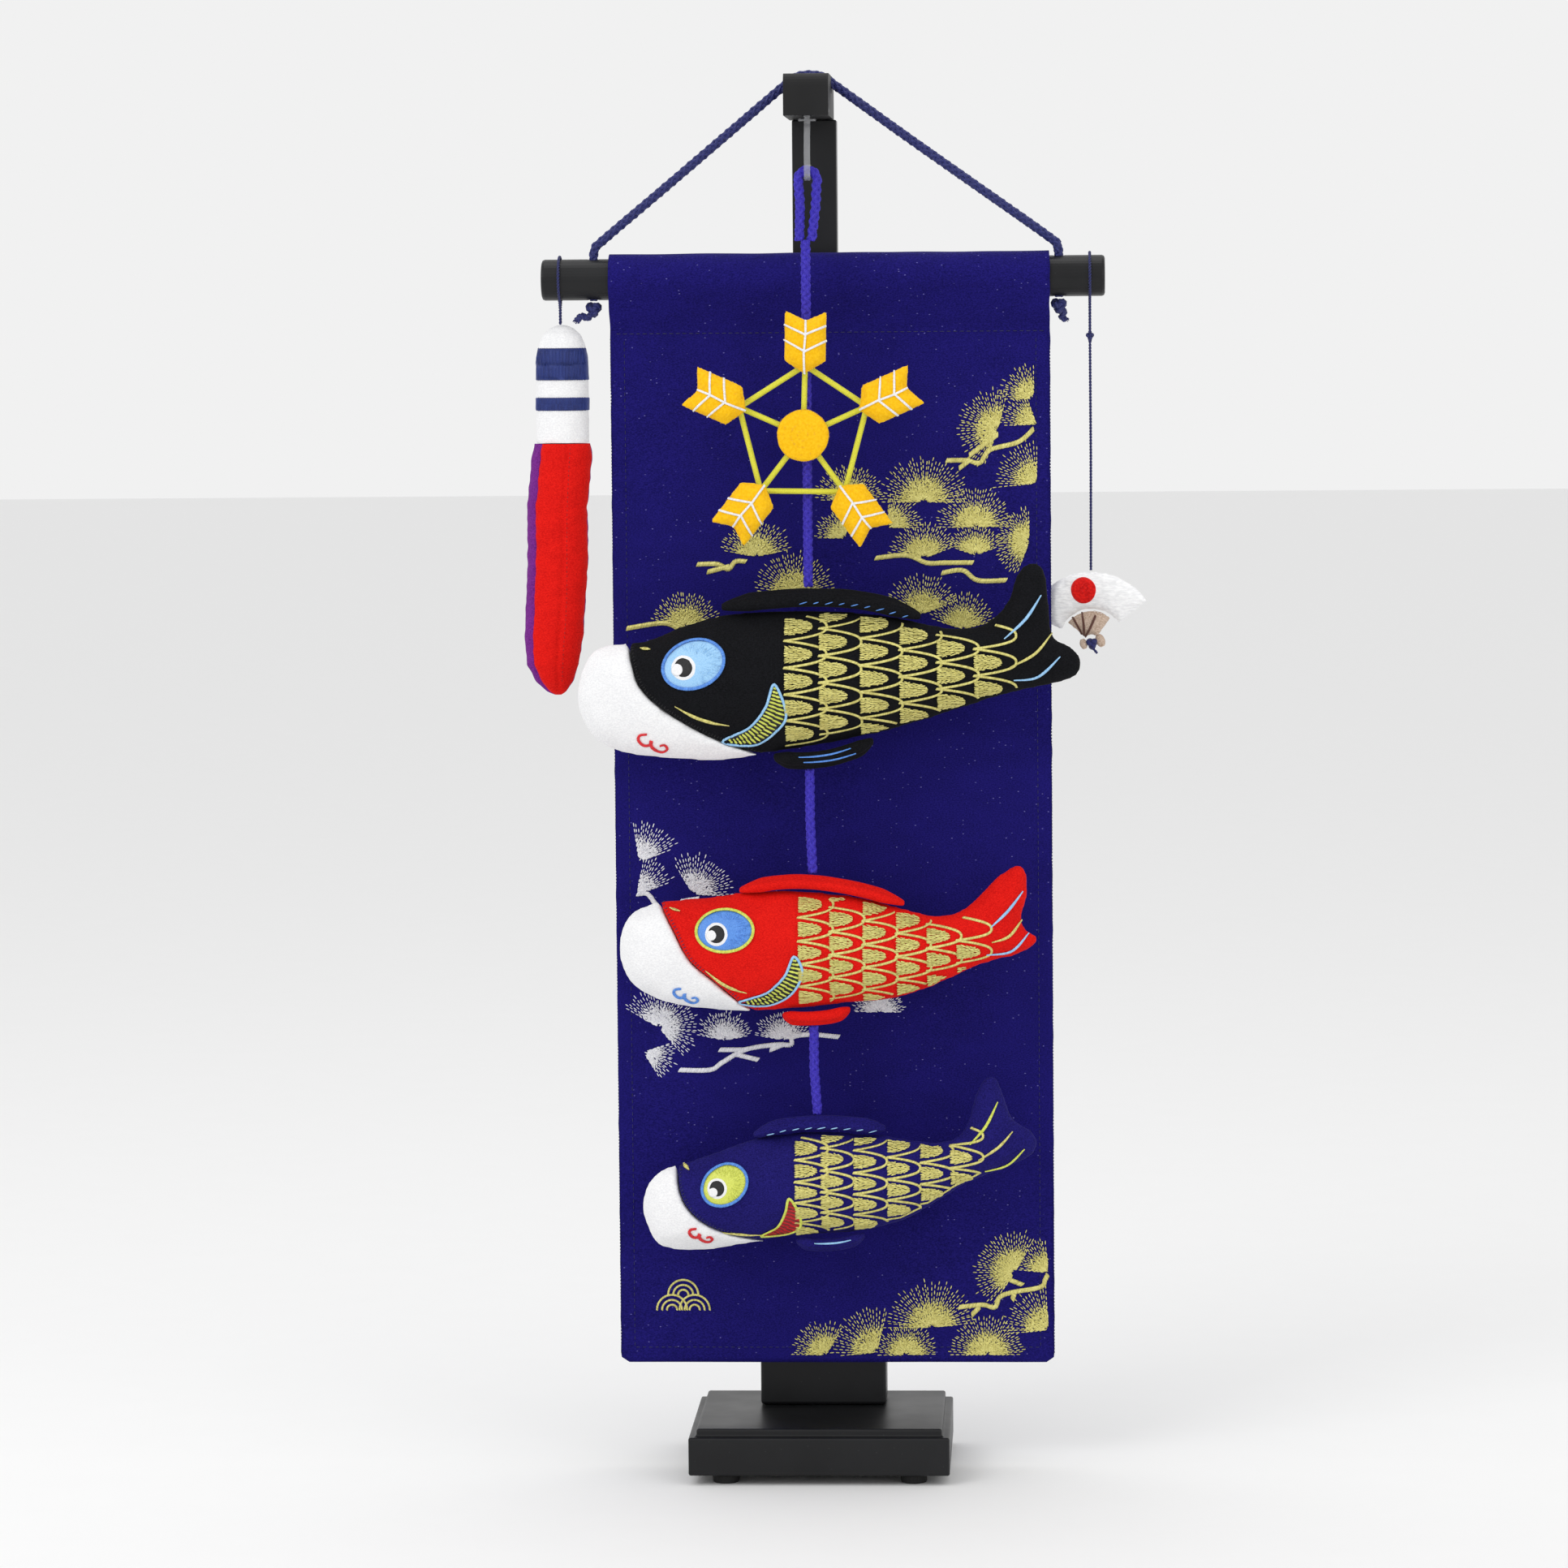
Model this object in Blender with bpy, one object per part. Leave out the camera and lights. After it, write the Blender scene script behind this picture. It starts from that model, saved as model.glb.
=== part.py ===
"""A carp streamer on a table stand: a cloth banner hangs from a bar behind a string of three stuffed carps.

X runs to the right, Y to the back and Z up, in metres. Z = 0 is the surface that the feet stand on.
"""

import math

import bmesh
import bpy
from mathutils import Matrix, Vector
from mathutils.geometry import delaunay_2d_cdt

mm = 0.001
gap = 0.3 * mm  # between two pieces that touch

box_shift = -7.4 * mm  # the stand's middle stands this far from the middle of the whole object's box

# Stand
base_width, base_depth, base_thickness = 102 * mm, 86 * mm, 18 * mm
base_step = 3 * mm  # the moulded step round the top edge
foot_radius, foot_height, foot_inset = 5.2 * mm, 3.6 * mm, 9 * mm
column_width, column_depth, column_height = 50 * mm, 20 * mm, 190 * mm
column_front = 8 * mm  # Y of its front face
post_width, post_depth, post_top = 17.4 * mm, 12 * mm, 531.3 * mm
socket_depth, socket_clearance = 62 * mm, 0.3 * mm

# Hook block on top of the post
block_width, block_height, block_front, block_round = 17.4 * mm, 16.2 * mm, -33.5 * mm, 4.6 * mm
block_x = -1.3 * mm
crown_radius = 13 * mm  # centre line of the banner cord over the block
pin_radius, pin_above_edge = 0.8 * mm, 1.9 * mm
carp_plane = -28 * mm  # Y in which the carps hang

# Banner
bar_radius, bar_length, bar_x, bar_z = 8 * mm, 220 * mm, 3.5 * mm, 469.6 * mm
cord_radius = 2 * mm
cord_hole_clearance = 0.35 * mm
knot_radius = 3.1 * mm
cloth_left, cloth_right, cloth_bottom = -80 * mm, 92 * mm, 41 * mm
cloth_thickness, sleeve_clearance, sleeve_seam = 1.4 * mm, 0.6 * mm, 449 * mm

# Streamer and fan on their threads
thread_radius = 0.6 * mm
streamer_x, streamer_top, streamer_seam, streamer_tip = -99.5 * mm, 452 * mm, 406 * mm, 307 * mm
streamer_half_width, streamer_flatness, streamer_wall = 12 * mm, 0.68, 0.14  # the wall is a share of the width
fan_x, fan_knot_z, fan_knot_radius = 107.6 * mm, 446 * mm, 1.6 * mm
fan_pivot = Vector((108 * mm, 0, 326 * mm))
fan_radius, fan_handle_radius, fan_half_thickness = 28.5 * mm, 13 * mm, 3 * mm
fan_turn = -18  # degrees about its thread, which takes its left end behind the cloth

# Arrow wheel
wheel_centre = Vector((-3.3 * mm, 0, 408.9 * mm))
wire_radius, rim_radius = 1.2 * mm, 27 * mm
arrow_radius, arrow_length, arrow_width, arrow_half_thickness = 36 * mm, 25 * mm, 16.7 * mm, 3.5 * mm
arrow_angles = (88, 24, -54, 232, 156)  # degrees, each as it was tied by hand
hub_radius, hub_thickness = 10 * mm, 3 * mm

# String of carps
string_radius = 2.1 * mm
string_top = Vector((-1.0 * mm, carp_plane, 510.8 * mm))  # centre of the cord's bight in the hanger
string_gap = 0.6 * mm  # between a cord's end and the carp under or over it

# Each carp's points are percent of its length, along it and up, from the tip of its nose.
carps = {
    "black": {
        "nose": (-92.6 * mm, 306 * mm), "length": 197 * mm, "half_thickness": 13 * mm, "string_x": -2.0 * mm,
        "nose_edge": [(6.7, 11.5), (3.1, 10.0), (0.7, 5.5), (0, -0.6), (2.7, -6.6), (8.1, -10.0), (18.9, -11.6),
                      (29.0, -11.9)],
        "body_edge": [(14.6, 12.4), (21.8, 15.3), (29.3, 17.2), (37.3, 17.9), (46.8, 18.1), (57.6, 17.4),
                      (67.1, 15.8), (74.6, 14.4), (80.7, 15.3), (84.8, 19.5), (86.9, 25.1), (89.7, 27.4),
                      (92.4, 26.1), (93.5, 20.5), (94.2, 12.7), (97.6, 10.9), (100, 7.6), (98.9, 4.5),
                      (94.2, 2.7), (84.7, 0.8), (71.1, -3.4), (60.9, -6.3), (54.8, -7.6), (44.0, -9.6)],
        "cheek": [(10.4, 11.7), (11.5, 6.9), (13.1, 2.9), (17.5, -1.3), (23.9, -5.3), (28.8, -7.7),
                  (36.5, -10.6)],
        "eye": (23.6, 7.6), "eye_size": (12.2 * mm, 9.0 * mm), "eye_tilt": 18,
        "gill": [(39.5, 3.7), (41.7, -2.1), (39.7, -5.6), (35.2, -8.4), (29.1, -7.6), (34.4, -4.8),
                 (37.7, -0.8)],
        "dorsal": (29, 69), "belly": (38, 58),
    },
    "red": {
        "nose": (-77.2 * mm, 208.8 * mm), "length": 164 * mm, "half_thickness": 12 * mm, "string_x": -1.2 * mm,
        "nose_edge": [(3.9, 9.7), (0.8, 5.6), (0, -0.6), (1.3, -6.0), (5.1, -10.0), (11.1, -12.7),
                      (21.3, -14.5)],
        "body_edge": [(16.1, 12.4), (24.8, 13.3), (30.2, 14.1), (42.6, 14.3), (52.0, 13.5), (60, 12.2),
                      (69.6, 9.5), (75.5, 8.3), (80.9, 9.3), (85.8, 13.3), (90.5, 18.1), (94.7, 20.5),
                      (97.4, 18.3), (97.6, 12.4), (96.2, 6.2), (100, 2.9), (98.6, 0.2), (93.8, -2.1),
                      (85.7, -4.2), (75.4, -8.9), (65.3, -12.0), (55.1, -12.9), (44.9, -14.1)],
        "cheek": [(9.7, 11.8), (13.4, 5.2), (17.2, -1.9), (22.9, -6.9), (29.2, -12.5), (33, -14.8)],
        "eye": (25.7, 5.2), "eye_size": (11.1 * mm, 7.9 * mm), "eye_tilt": 2,
        "gill": [(42.1, -0.8), (44.0, -4.8), (41.0, -10.2), (35.2, -13.0), (28.9, -12.0), (35.2, -9.7),
                 (39.7, -5.6)],
        "dorsal": (30, 69), "belly": (38, 55),
    },
    "blue": {
        "nose": (-69.4 * mm, 107.8 * mm), "length": 156 * mm, "half_thickness": 11 * mm, "string_x": 0,
        "nose_edge": [(4.7, 9.2), (1.3, 5.5), (0, 0), (2.2, -7.3), (5.8, -10.8), (16.2, -11.4), (24.3, -10.0)],
        "body_edge": [(14.9, 12.6), (24.5, 16.1), (30.0, 17.9), (38.2, 18.9), (48.4, 19.0), (61.4, 18.3),
                      (67.5, 17.1), (74.2, 16.5), (79.1, 17.9), (81.7, 21.8), (83.8, 28.7), (86.5, 33.0),
                      (89.8, 32.8), (91.7, 27.3), (93.7, 22.2), (98.0, 19.7), (100, 15.7), (97.9, 12.2),
                      (92.6, 9.6), (82.2, 5.5), (72.0, -0.6), (65.3, -4.1), (55.7, -6.4), (40.6, -7.6)],
        "cheek": [(9.4, 10.8), (9.8, 5.1), (12.2, 0), (16.7, -3.9), (23.1, -6.6), (31.5, -8.6)],
        "eye": (21.4, 6.3), "eye_size": (9.3 * mm, 7.3 * mm), "eye_tilt": 30,
        "gill": [(37.5, 3.1), (39.8, -0.6), (40.0, -4.5), (36.5, -6.6), (30.1, -7.0), (34.3, -4.5),
                 (36.4, -0.6)],
        "dorsal": (28, 62), "belly": (38, 56),
    },
}
fin_height, fin_half_thickness = 0.04, 4.5 * mm  # the height is a share of the carp's length
tail_taper_start, tail_thinness = 0.55, 0.5
patch_thickness, patch_gap = 0.8 * mm, 0.5 * mm


def clear_scene():
    for obj in list(bpy.data.objects):
        bpy.data.objects.remove(obj, do_unlink=True)


def material(name, colour, roughness, metallic=0.0):
    made = bpy.data.materials.get(name)
    if made:
        return made
    made = bpy.data.materials.new(name)
    made.use_nodes = True
    made.diffuse_color = (*colour, 1)
    shader = made.node_tree.nodes["Principled BSDF"]
    shader.inputs["Base Color"].default_value = (*colour, 1)
    shader.inputs["Roughness"].default_value = roughness
    shader.inputs["Metallic"].default_value = metallic
    return made


def black_lacquer():
    return material("black_lacquer", (0.012, 0.012, 0.014), 0.4)


def steel():
    return material("steel", (0.6, 0.6, 0.62), 0.3, 1.0)


def navy_cord():
    return material("navy_cord", (0.03, 0.035, 0.25), 0.7)


def violet_cord():
    return material("violet_cord", (0.06, 0.03, 0.55), 0.7)


def cloth(name, colour):
    return material(name, colour, 0.85)


def white_crepe():
    return cloth("white_crepe", (0.85, 0.85, 0.86))


def add_object(name, data, look):
    data.materials.append(look)
    obj = bpy.data.objects.new(name, data)
    bpy.context.scene.collection.objects.link(obj)
    return obj


def add_mesh(name, bm, look, smooth=True):
    bmesh.ops.recalc_face_normals(bm, faces=bm.faces)
    mesh = bpy.data.meshes.new(name)
    bm.to_mesh(mesh)
    bm.free()
    if smooth:
        mesh.shade_smooth()
        mesh.set_sharp_from_angle(angle=math.radians(35))
    return add_object(name, mesh, look)


def turn_about_thread(obj, x, angle):
    """Turns an object about the upright line through X on the bar's plane."""
    place = Matrix.Translation((x, 0, 0))
    obj.matrix_world = place @ Matrix.Rotation(math.radians(angle), 4, "Z") @ place.inverted()


def box(name, low, high, look):
    bm = bmesh.new()
    bmesh.ops.create_cube(bm, size=1)
    low, high = Vector(low), Vector(high)
    size, middle = high - low, (high + low) / 2
    for vert in bm.verts:
        vert.co = Vector(c * s for c, s in zip(vert.co, size)) + middle
    return add_mesh(name, bm, look, smooth=False)


def rod(name, start, end, radius, look, sides=24):
    start, end = Vector(start), Vector(end)
    along = end - start
    bm = bmesh.new()
    turn = along.to_track_quat("Z", "Y").to_matrix().to_4x4()
    place = Matrix.Translation((start + end) / 2) @ turn
    bmesh.ops.create_cone(bm, cap_ends=True, segments=sides, radius1=radius, radius2=radius,
                          depth=along.length, matrix=place)
    return add_mesh(name, bm, look)


def ball(name, centre, radius, look, squash=1.0):
    bm = bmesh.new()
    place = Matrix.Translation(centre) @ Matrix.Diagonal((1, 1, squash, 1))
    bmesh.ops.create_uvsphere(bm, u_segments=14, v_segments=9, radius=radius, matrix=place)
    return add_mesh(name, bm, look)


def round_edges(obj, width, segments=2):
    bevel = obj.modifiers.new("edges", "BEVEL")
    bevel.width, bevel.segments = width, segments
    bevel.limit_method, bevel.angle_limit = "ANGLE", math.radians(40)


def boolean(obj, helper, operation="DIFFERENCE"):
    helper.hide_render = True
    helper.display_type = "WIRE"
    modifier = obj.modifiers.new(helper.name, "BOOLEAN")
    modifier.operation, modifier.object, modifier.solver = operation, helper, "EXACT"


def extrude_profile(name, profile, low_x, high_x, look):
    """A solid whose cross-section is a list of (y, z) points."""
    bm = bmesh.new()
    face = bm.faces.new([bm.verts.new((low_x, y, z)) for y, z in profile])
    moved = bmesh.ops.extrude_face_region(bm, geom=[face])["geom"]
    bmesh.ops.translate(bm, verts=[v for v in moved if isinstance(v, bmesh.types.BMVert)],
                        vec=(high_x - low_x, 0, 0))
    return add_mesh(name, bm, look)


def loft(name, rings, look):
    """A solid through closed rings of points that all hold the same number of points."""
    bm = bmesh.new()
    rows = [[bm.verts.new(point) for point in ring] for ring in rings]
    for lower, upper in zip(rows, rows[1:]):
        for i in range(len(lower)):
            j = (i + 1) % len(lower)
            bm.faces.new((lower[i], lower[j], upper[j], upper[i]))
    bm.faces.new(rows[0])
    bm.faces.new(rows[-1])
    bmesh.ops.triangulate(bm, faces=bm.faces)
    return add_mesh(name, bm, look)


def spline(points, steps, closed=False):
    """Points on a Catmull-Rom curve through the given ones."""
    count = len(points)
    points = [Vector(p) for p in points]
    found = []
    for i in range(count if closed else count - 1):
        if closed:
            a, b, c, d = (points[(i + k) % count] for k in (-1, 0, 1, 2))
        else:
            a, b, c, d = points[max(i - 1, 0)], points[i], points[i + 1], points[min(i + 2, count - 1)]
        for step in range(steps):
            t = step / steps
            found.append(0.5 * (2 * b + (c - a) * t + (2 * a - 5 * b + 4 * c - d) * t * t
                                + (3 * b - a - 3 * c + d) * t ** 3))
    return found if closed else [*found, points[-1]]


def respaced(points, spacing):
    """The same route with its points this far apart, ends kept."""
    lengths = [(b - a).length for a, b in zip(points, points[1:])]
    count = max(2, round(sum(lengths) / spacing))
    found, walked, index = [points[0]], 0.0, 0
    for k in range(1, count):
        target = sum(lengths) * k / count
        while walked + lengths[index] < target:
            walked += lengths[index]
            index += 1
        found.append(points[index].lerp(points[index + 1], (target - walked) / lengths[index]))
    return [*found, points[-1]]


def tube(name, route, radius, look, diameters=2.5):
    """A round cord with a point every so many diameters."""
    points = respaced(spline(route, 8), diameters * 2 * radius)
    curve = bpy.data.curves.new(name, "CURVE")
    curve.dimensions = "3D"
    curve.bevel_depth, curve.bevel_resolution, curve.use_fill_caps = radius, 2, True
    line = curve.splines.new("POLY")
    line.points.add(len(points) - 1)
    for target, point in zip(line.points, points):
        target.co = (*point, 1)
    return add_object(name, curve, look)


def edge_distance(point, outline):
    """From a point of the XZ plane to the nearest side of a closed outline."""
    nearest = math.inf
    for a, b in zip(outline, outline[1:] + outline[:1]):
        side = b - a
        share = max(0.0, min(1.0, (point - a).dot(side) / max(side.length_squared, 1e-18)))
        nearest = min(nearest, (point - a - side * share).length)
    return nearest


def inside(point, outline):
    odd = False
    for a, b in zip(outline, outline[1:] + outline[:1]):
        if (a.y > point.y) != (b.y > point.y):
            if point.x < (b.x - a.x) * (point.y - a.y) / (b.y - a.y) + a.x:
                odd = not odd
    return odd


def grid_points(outline, spacing):
    """A staggered grid inside an outline, clear of its sides."""
    low_x, high_x = min(p.x for p in outline), max(p.x for p in outline)
    low_z, high_z = min(p.y for p in outline), max(p.y for p in outline)
    row_height = spacing * math.sqrt(3) / 2
    found = []
    for row in range(int((high_z - low_z) / row_height) + 1):
        for column in range(int((high_x - low_x) / spacing) + 2):
            point = Vector((low_x + (column + row % 2 / 2) * spacing, low_z + (row + 0.5) * row_height))
            if inside(point, outline) and edge_distance(point, outline) > 0.45 * spacing:
                found.append(point)
    return found


def triangulated(outline, spacing, thickness):
    """Triangles over an outline, where no inner side joins two points that have no thickness."""
    points = outline + grid_points(outline, spacing)
    while True:
        flat, _, triangles, *_ = delaunay_2d_cdt(points, [], [list(range(len(outline)))], 1, 1e-9)
        uses = {}
        for tri in triangles:
            for i, j in zip(tri, (*tri[1:], tri[0])):
                uses.setdefault(frozenset((i, j)), []).append((i, j))
        thin = [thickness(p) < 1e-6 for p in flat]
        chords = [tuple(side) for side, found in uses.items() if len(found) == 2 and all(thin[i] for i in side)]
        if not chords:
            return flat, triangles, [found[0] for found in uses.values() if len(found) == 1]
        points = points + [(flat[i] + flat[j]) / 2 for i, j in chords]


def solid_between(name, outline, front, back, spacing, look):
    """The solid over an outline of the XZ plane, between two surfaces that give Y at a point."""
    outline = [Vector(p) for p in outline]
    flat, triangles, rim = triangulated(outline, spacing, lambda p: back(p) - front(p))
    bm = bmesh.new()
    near = [bm.verts.new((p.x, front(p), p.y)) for p in flat]
    far = [bm.verts.new((p.x, back(p), p.y)) for p in flat]
    for tri in triangles:
        bm.faces.new([near[i] for i in tri])
        bm.faces.new([far[i] for i in reversed(tri)])
    for i, j in rim:
        bm.faces.new((near[j], near[i], far[i]))
        bm.faces.new((near[j], far[i], far[j]))
    bmesh.ops.remove_doubles(bm, verts=bm.verts, dist=1e-6)
    return add_mesh(name, bm, look)


def pillow_height(point, outline, reach, half_thickness):
    """Half the thickness of a stuffed shape, which is full at the given reach from its outline."""
    share = min(edge_distance(point, outline) / reach, 1.0)
    return half_thickness * math.sqrt(max(0.0, 1 - (1 - share) ** 2))


def pillow(name, outline, middle_y, half_thickness, reach, spacing, look):
    outline = [Vector(p) for p in outline]

    def height(point):
        return pillow_height(point, outline, reach, half_thickness)

    return solid_between(name, outline, lambda p: middle_y - height(p), lambda p: middle_y + height(p),
                         spacing, look)


# Stand


def base_top():
    return foot_height + gap + base_thickness


def build_feet():
    rubber = material("rubber", (0.02, 0.02, 0.02), 0.8)
    x, y = base_width / 2 - foot_inset - foot_radius, base_depth / 2 - foot_inset
    for side, sx in (("left", -1), ("right", 1)):
        for end, sy in (("front", -1), ("rear", 1)):
            foot = rod(f"foot_{end}_{side}", (sx * x, sy * y, 0), (sx * x, sy * y, foot_height), foot_radius, rubber)
            round_edges(foot, 0.6 * mm)


def column_screw_places():
    y = column_front + column_depth / 2
    return {"left": (-column_width / 4, y), "right": (column_width / 4, y)}


screw_radius, screw_head_radius, screw_head_height = 1.75 * mm, 3.5 * mm, 2.5 * mm
screw_counterbore, column_screw_grip = 5 * mm, 14 * mm


def build_base():
    bottom, top = foot_height + gap, base_top()
    half_x, half_y = base_width / 2, base_depth / 2
    slab = box("base_board", (-half_x, -half_y, bottom), (half_x, half_y, top - base_step), black_lacquer())
    raised = box("base_step", (base_step - half_x, base_step - half_y, bottom + base_step),
                 (half_x - base_step, half_y - base_step, top), black_lacquer())
    boolean(slab, raised, "UNION")
    for side, (x, y) in column_screw_places().items():
        head = screw_head_radius + gap
        boolean(slab, rod(f"base_counterbore_{side}", (x, y, 0), (x, y, bottom + screw_counterbore), head, steel()))
        shank = screw_radius + gap
        boolean(slab, rod(f"base_screw_hole_{side}", (x, y, 0), (x, y, top + mm), shank, steel()))
    round_edges(slab, 0.8 * mm)


def build_column():
    low, high = base_top() + gap, base_top() + gap + column_height
    half = column_width / 2
    column = box("lower_column", (-half, column_front, low), (half, column_front + column_depth, high),
                 black_lacquer())
    round_edges(column, 1.2 * mm)
    wall = post_width / 2 + socket_clearance
    middle = column_front + column_depth / 2
    deep = post_depth / 2 + socket_clearance
    boolean(column, box("post_socket", (-wall, middle - deep, high - socket_depth),
                        (wall, middle + deep, high + mm), black_lacquer()))
    for side, (x, y) in column_screw_places().items():
        end = low + column_screw_grip + gap
        boolean(column, rod(f"column_screw_hole_{side}", (x, y, low - mm), (x, y, end), screw_radius + gap, steel()))


def screw(name, x, y, head_z, tip_z):
    """A pan-head screw whose head face is at head_z. It points up or down, towards tip_z."""
    way = 1 if tip_z > head_z else -1
    neck = head_z + way * screw_head_height
    head = rod(name, (x, y, head_z), (x, y, neck), screw_head_radius, steel(), 16)
    boolean(head, rod(f"{name}_shank", (x, y, neck - way * mm), (x, y, tip_z), screw_radius, steel(), 12), "UNION")
    slot = 0.4 * mm
    low, high = sorted((head_z - way * mm, head_z + way * mm))
    boolean(head, box(f"{name}_slot", (x - 5 * mm, y - slot, low), (x + 5 * mm, y + slot, high), steel()))


def build_column_screws():
    seat = foot_height + gap + screw_counterbore - gap
    for side, (x, y) in column_screw_places().items():
        screw(f"column_screw_{side}", x, y, seat - screw_head_height, base_top() + column_screw_grip)


def post_middle():
    return column_front + column_depth / 2


block_screw_grip = 10 * mm


def build_post():
    low = base_top() + column_height - socket_depth + 2 * gap
    half_x, half_y, y = post_width / 2, post_depth / 2, post_middle()
    post = box("upper_post", (-half_x, y - half_y, low), (half_x, y + half_y, post_top), black_lacquer())
    round_edges(post, 0.5 * mm)
    boolean(post, rod("post_screw_hole", (block_x, y, post_top - block_screw_grip - gap),
                      (block_x, y, post_top + mm), screw_radius + gap, steel()))


# Hook block and the clear hanger under it


def block_bottom():
    return post_top + gap


def block_top():
    return block_bottom() + block_height


def crown_z():
    """Height of the axis about which the banner sways: the centre of the cord's bend over the block."""
    return block_top() + 0.6 * mm - crown_radius


def build_block():
    low, high = block_bottom(), block_top()
    back = post_middle() + post_depth / 2
    corner = [(block_front + block_round * (1 - math.cos(a)), high - block_round * (1 - math.sin(a)))
              for a in (math.radians(90 * k / 6) for k in range(7))]
    profile = [(block_front, low), *corner, (back, high), (back, low)]
    half = block_width / 2
    block = extrude_profile("hook_block", profile, block_x - half, block_x + half, black_lacquer())
    slot_half, slot_top = hanger_width / 2 + 0.6 * mm, pin_z() + eye_radius + 0.5 * mm
    boolean(block, box("hanger_slot", (block_x - slot_half, carp_plane - eye_radius - 0.5 * mm, low - mm),
                       (block_x + slot_half, carp_plane + eye_radius + 4 * mm, slot_top), black_lacquer()))
    boolean(block, rod("pin_hole", (block_x - block_width, carp_plane, pin_z()),
                       (block_x + block_width, carp_plane, pin_z()), pin_radius + gap, steel(), 16))
    groove_half = cord_radius + 0.5 * mm
    groove = box("cord_groove", (block_x - block_width, -groove_half, crown_z()),
                 (block_x + block_width, groove_half, high + 5 * mm), black_lacquer())
    crown = crown_radius - cord_radius - 2 * gap
    boolean(groove, rod("cord_crown", (block_x, -5 * mm, crown_z()), (block_x, 5 * mm, crown_z()), crown,
                        black_lacquer(), 64))
    boolean(block, groove)
    y = post_middle()
    boolean(block, rod("block_screw_hole", (block_x, y, low - mm), (block_x, y, high + mm), screw_radius + gap,
                       steel()))
    boolean(block, rod("block_counterbore", (block_x, y, high - screw_counterbore), (block_x, y, high + mm),
                       screw_head_radius + gap, steel()))


def build_block_screw():
    seat = block_top() - screw_counterbore + gap
    screw("block_screw", block_x, post_middle(), seat + screw_head_height, post_top - block_screw_grip)


hanger_width, hanger_thickness, eye_radius = 2.4 * mm, 1.2 * mm, 2.0 * mm
curl_radius = 3.5 * mm  # centre line of the strap round the cord
collar_width, collar_depth, collar_height = 6.7 * mm, 1.8 * mm, 0.8 * mm


def pin_z():
    return block_bottom() + pin_above_edge


def build_pin():
    half = block_width / 2
    rod("hanger_pin", (block_x - half, carp_plane, pin_z()), (block_x + half, carp_plane, pin_z()), pin_radius,
        steel(), 16)


def build_hanger():
    """A clear strap: an eye round the pin, a straight run and a curl under the cord."""
    clear = material("clear_plastic", (0.75, 0.77, 0.8), 0.15)
    y, x = carp_plane, string_top.x
    route = [(y, pin_z() - 1.5 * mm), (y, pin_z() - 5 * mm), (y - curl_radius, pin_z() - 14 * mm)]
    route += [(y - curl_radius * math.cos(a), string_top.z - curl_radius * math.sin(a))
              for a in (math.radians(15 * k) for k in range(15))]
    route = [Vector(p) for p in route]
    ways = [(route[min(i + 1, len(route) - 1)] - route[max(i - 1, 0)]).normalized() for i in range(len(route))]
    sides = [Vector((-way.y, way.x)) * hanger_thickness / 2 for way in ways]
    profile = [p + s for p, s in zip(route, sides)] + [p - s for p, s in zip(reversed(route), reversed(sides))]
    half = hanger_width / 2
    hanger = extrude_profile("hook_hanger", [tuple(p) for p in profile], x - half, x + half, clear)
    boolean(hanger, rod("hanger_eye", (x - half, y, pin_z()), (x + half, y, pin_z()), eye_radius, clear, 20), "UNION")
    boolean(hanger, rod("hanger_eye_hole", (x - 5 * mm, y, pin_z()), (x + 5 * mm, y, pin_z()), pin_radius + gap,
                        clear, 16))
    top = block_bottom() - 1.3 * mm
    boolean(hanger, box("hanger_collar", (x - collar_width / 2, y - collar_depth / 2, top - collar_height),
                        (x + collar_width / 2, y + collar_depth / 2, top), clear), "UNION")


# Banner


def cord_hole_places():
    """X of the two holes in the bar, left and right."""
    return -86.3 * mm, 95.6 * mm


def build_bar():
    half = bar_length / 2
    bar = rod("crossbar", (bar_x - half, 0, bar_z), (bar_x + half, 0, bar_z), bar_radius, black_lacquer(), 40)
    round_edges(bar, 1.2 * mm)
    for side, x in zip(("left", "right"), cord_hole_places()):
        boolean(bar, rod(f"cord_hole_{side}", (x, 0, bar_z - 2 * bar_radius), (x, 0, bar_z + 2 * bar_radius),
                         cord_radius + cord_hole_clearance, black_lacquer(), 16))


def knot_z():
    return bar_z - bar_radius - gap - knot_radius


def build_banner_cord():
    left, right = cord_hole_places()
    low = knot_z() + knot_radius + gap
    points = [(left, low), (left, 468 * mm), (left, 476.5 * mm), (-85.6 * mm, 481.5 * mm),
              (-82.2 * mm, 485.1 * mm), (-58.5 * mm, 504.7 * mm), (-34 * mm, 525.1 * mm),
              (-9.6 * mm, 545.4 * mm), (-5.7 * mm, 547.7 * mm), (-1.7 * mm, 548.4 * mm),
              (2.5 * mm, 547.9 * mm), (6.3 * mm, 546 * mm), (34.5 * mm, 525.6 * mm), (63 * mm, 505.3 * mm),
              (91.3 * mm, 485.1 * mm), (94.9 * mm, 481.6 * mm), (right, 476.5 * mm), (right, 468 * mm),
              (right, low)]
    tube("banner_cord", [(x, 0, z) for x, z in points], cord_radius, navy_cord(), 1.2)
    for side, x in (("left", left), ("right", right)):
        ball(f"banner_knot_{side}", (x, 0, knot_z()), knot_radius, navy_cord())


def sleeve_ring(radius, seam):
    """The section of a sleeve round the bar, drawn in to the seam: (y, z) points."""
    down = bar_z - seam
    turn = math.acos(radius / down)
    angles = [turn - math.pi / 2 + (2 * math.pi - 2 * turn) * k / 20 for k in range(21)]
    return [(radius * math.cos(a), bar_z + radius * math.sin(a)) for a in angles]


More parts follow.
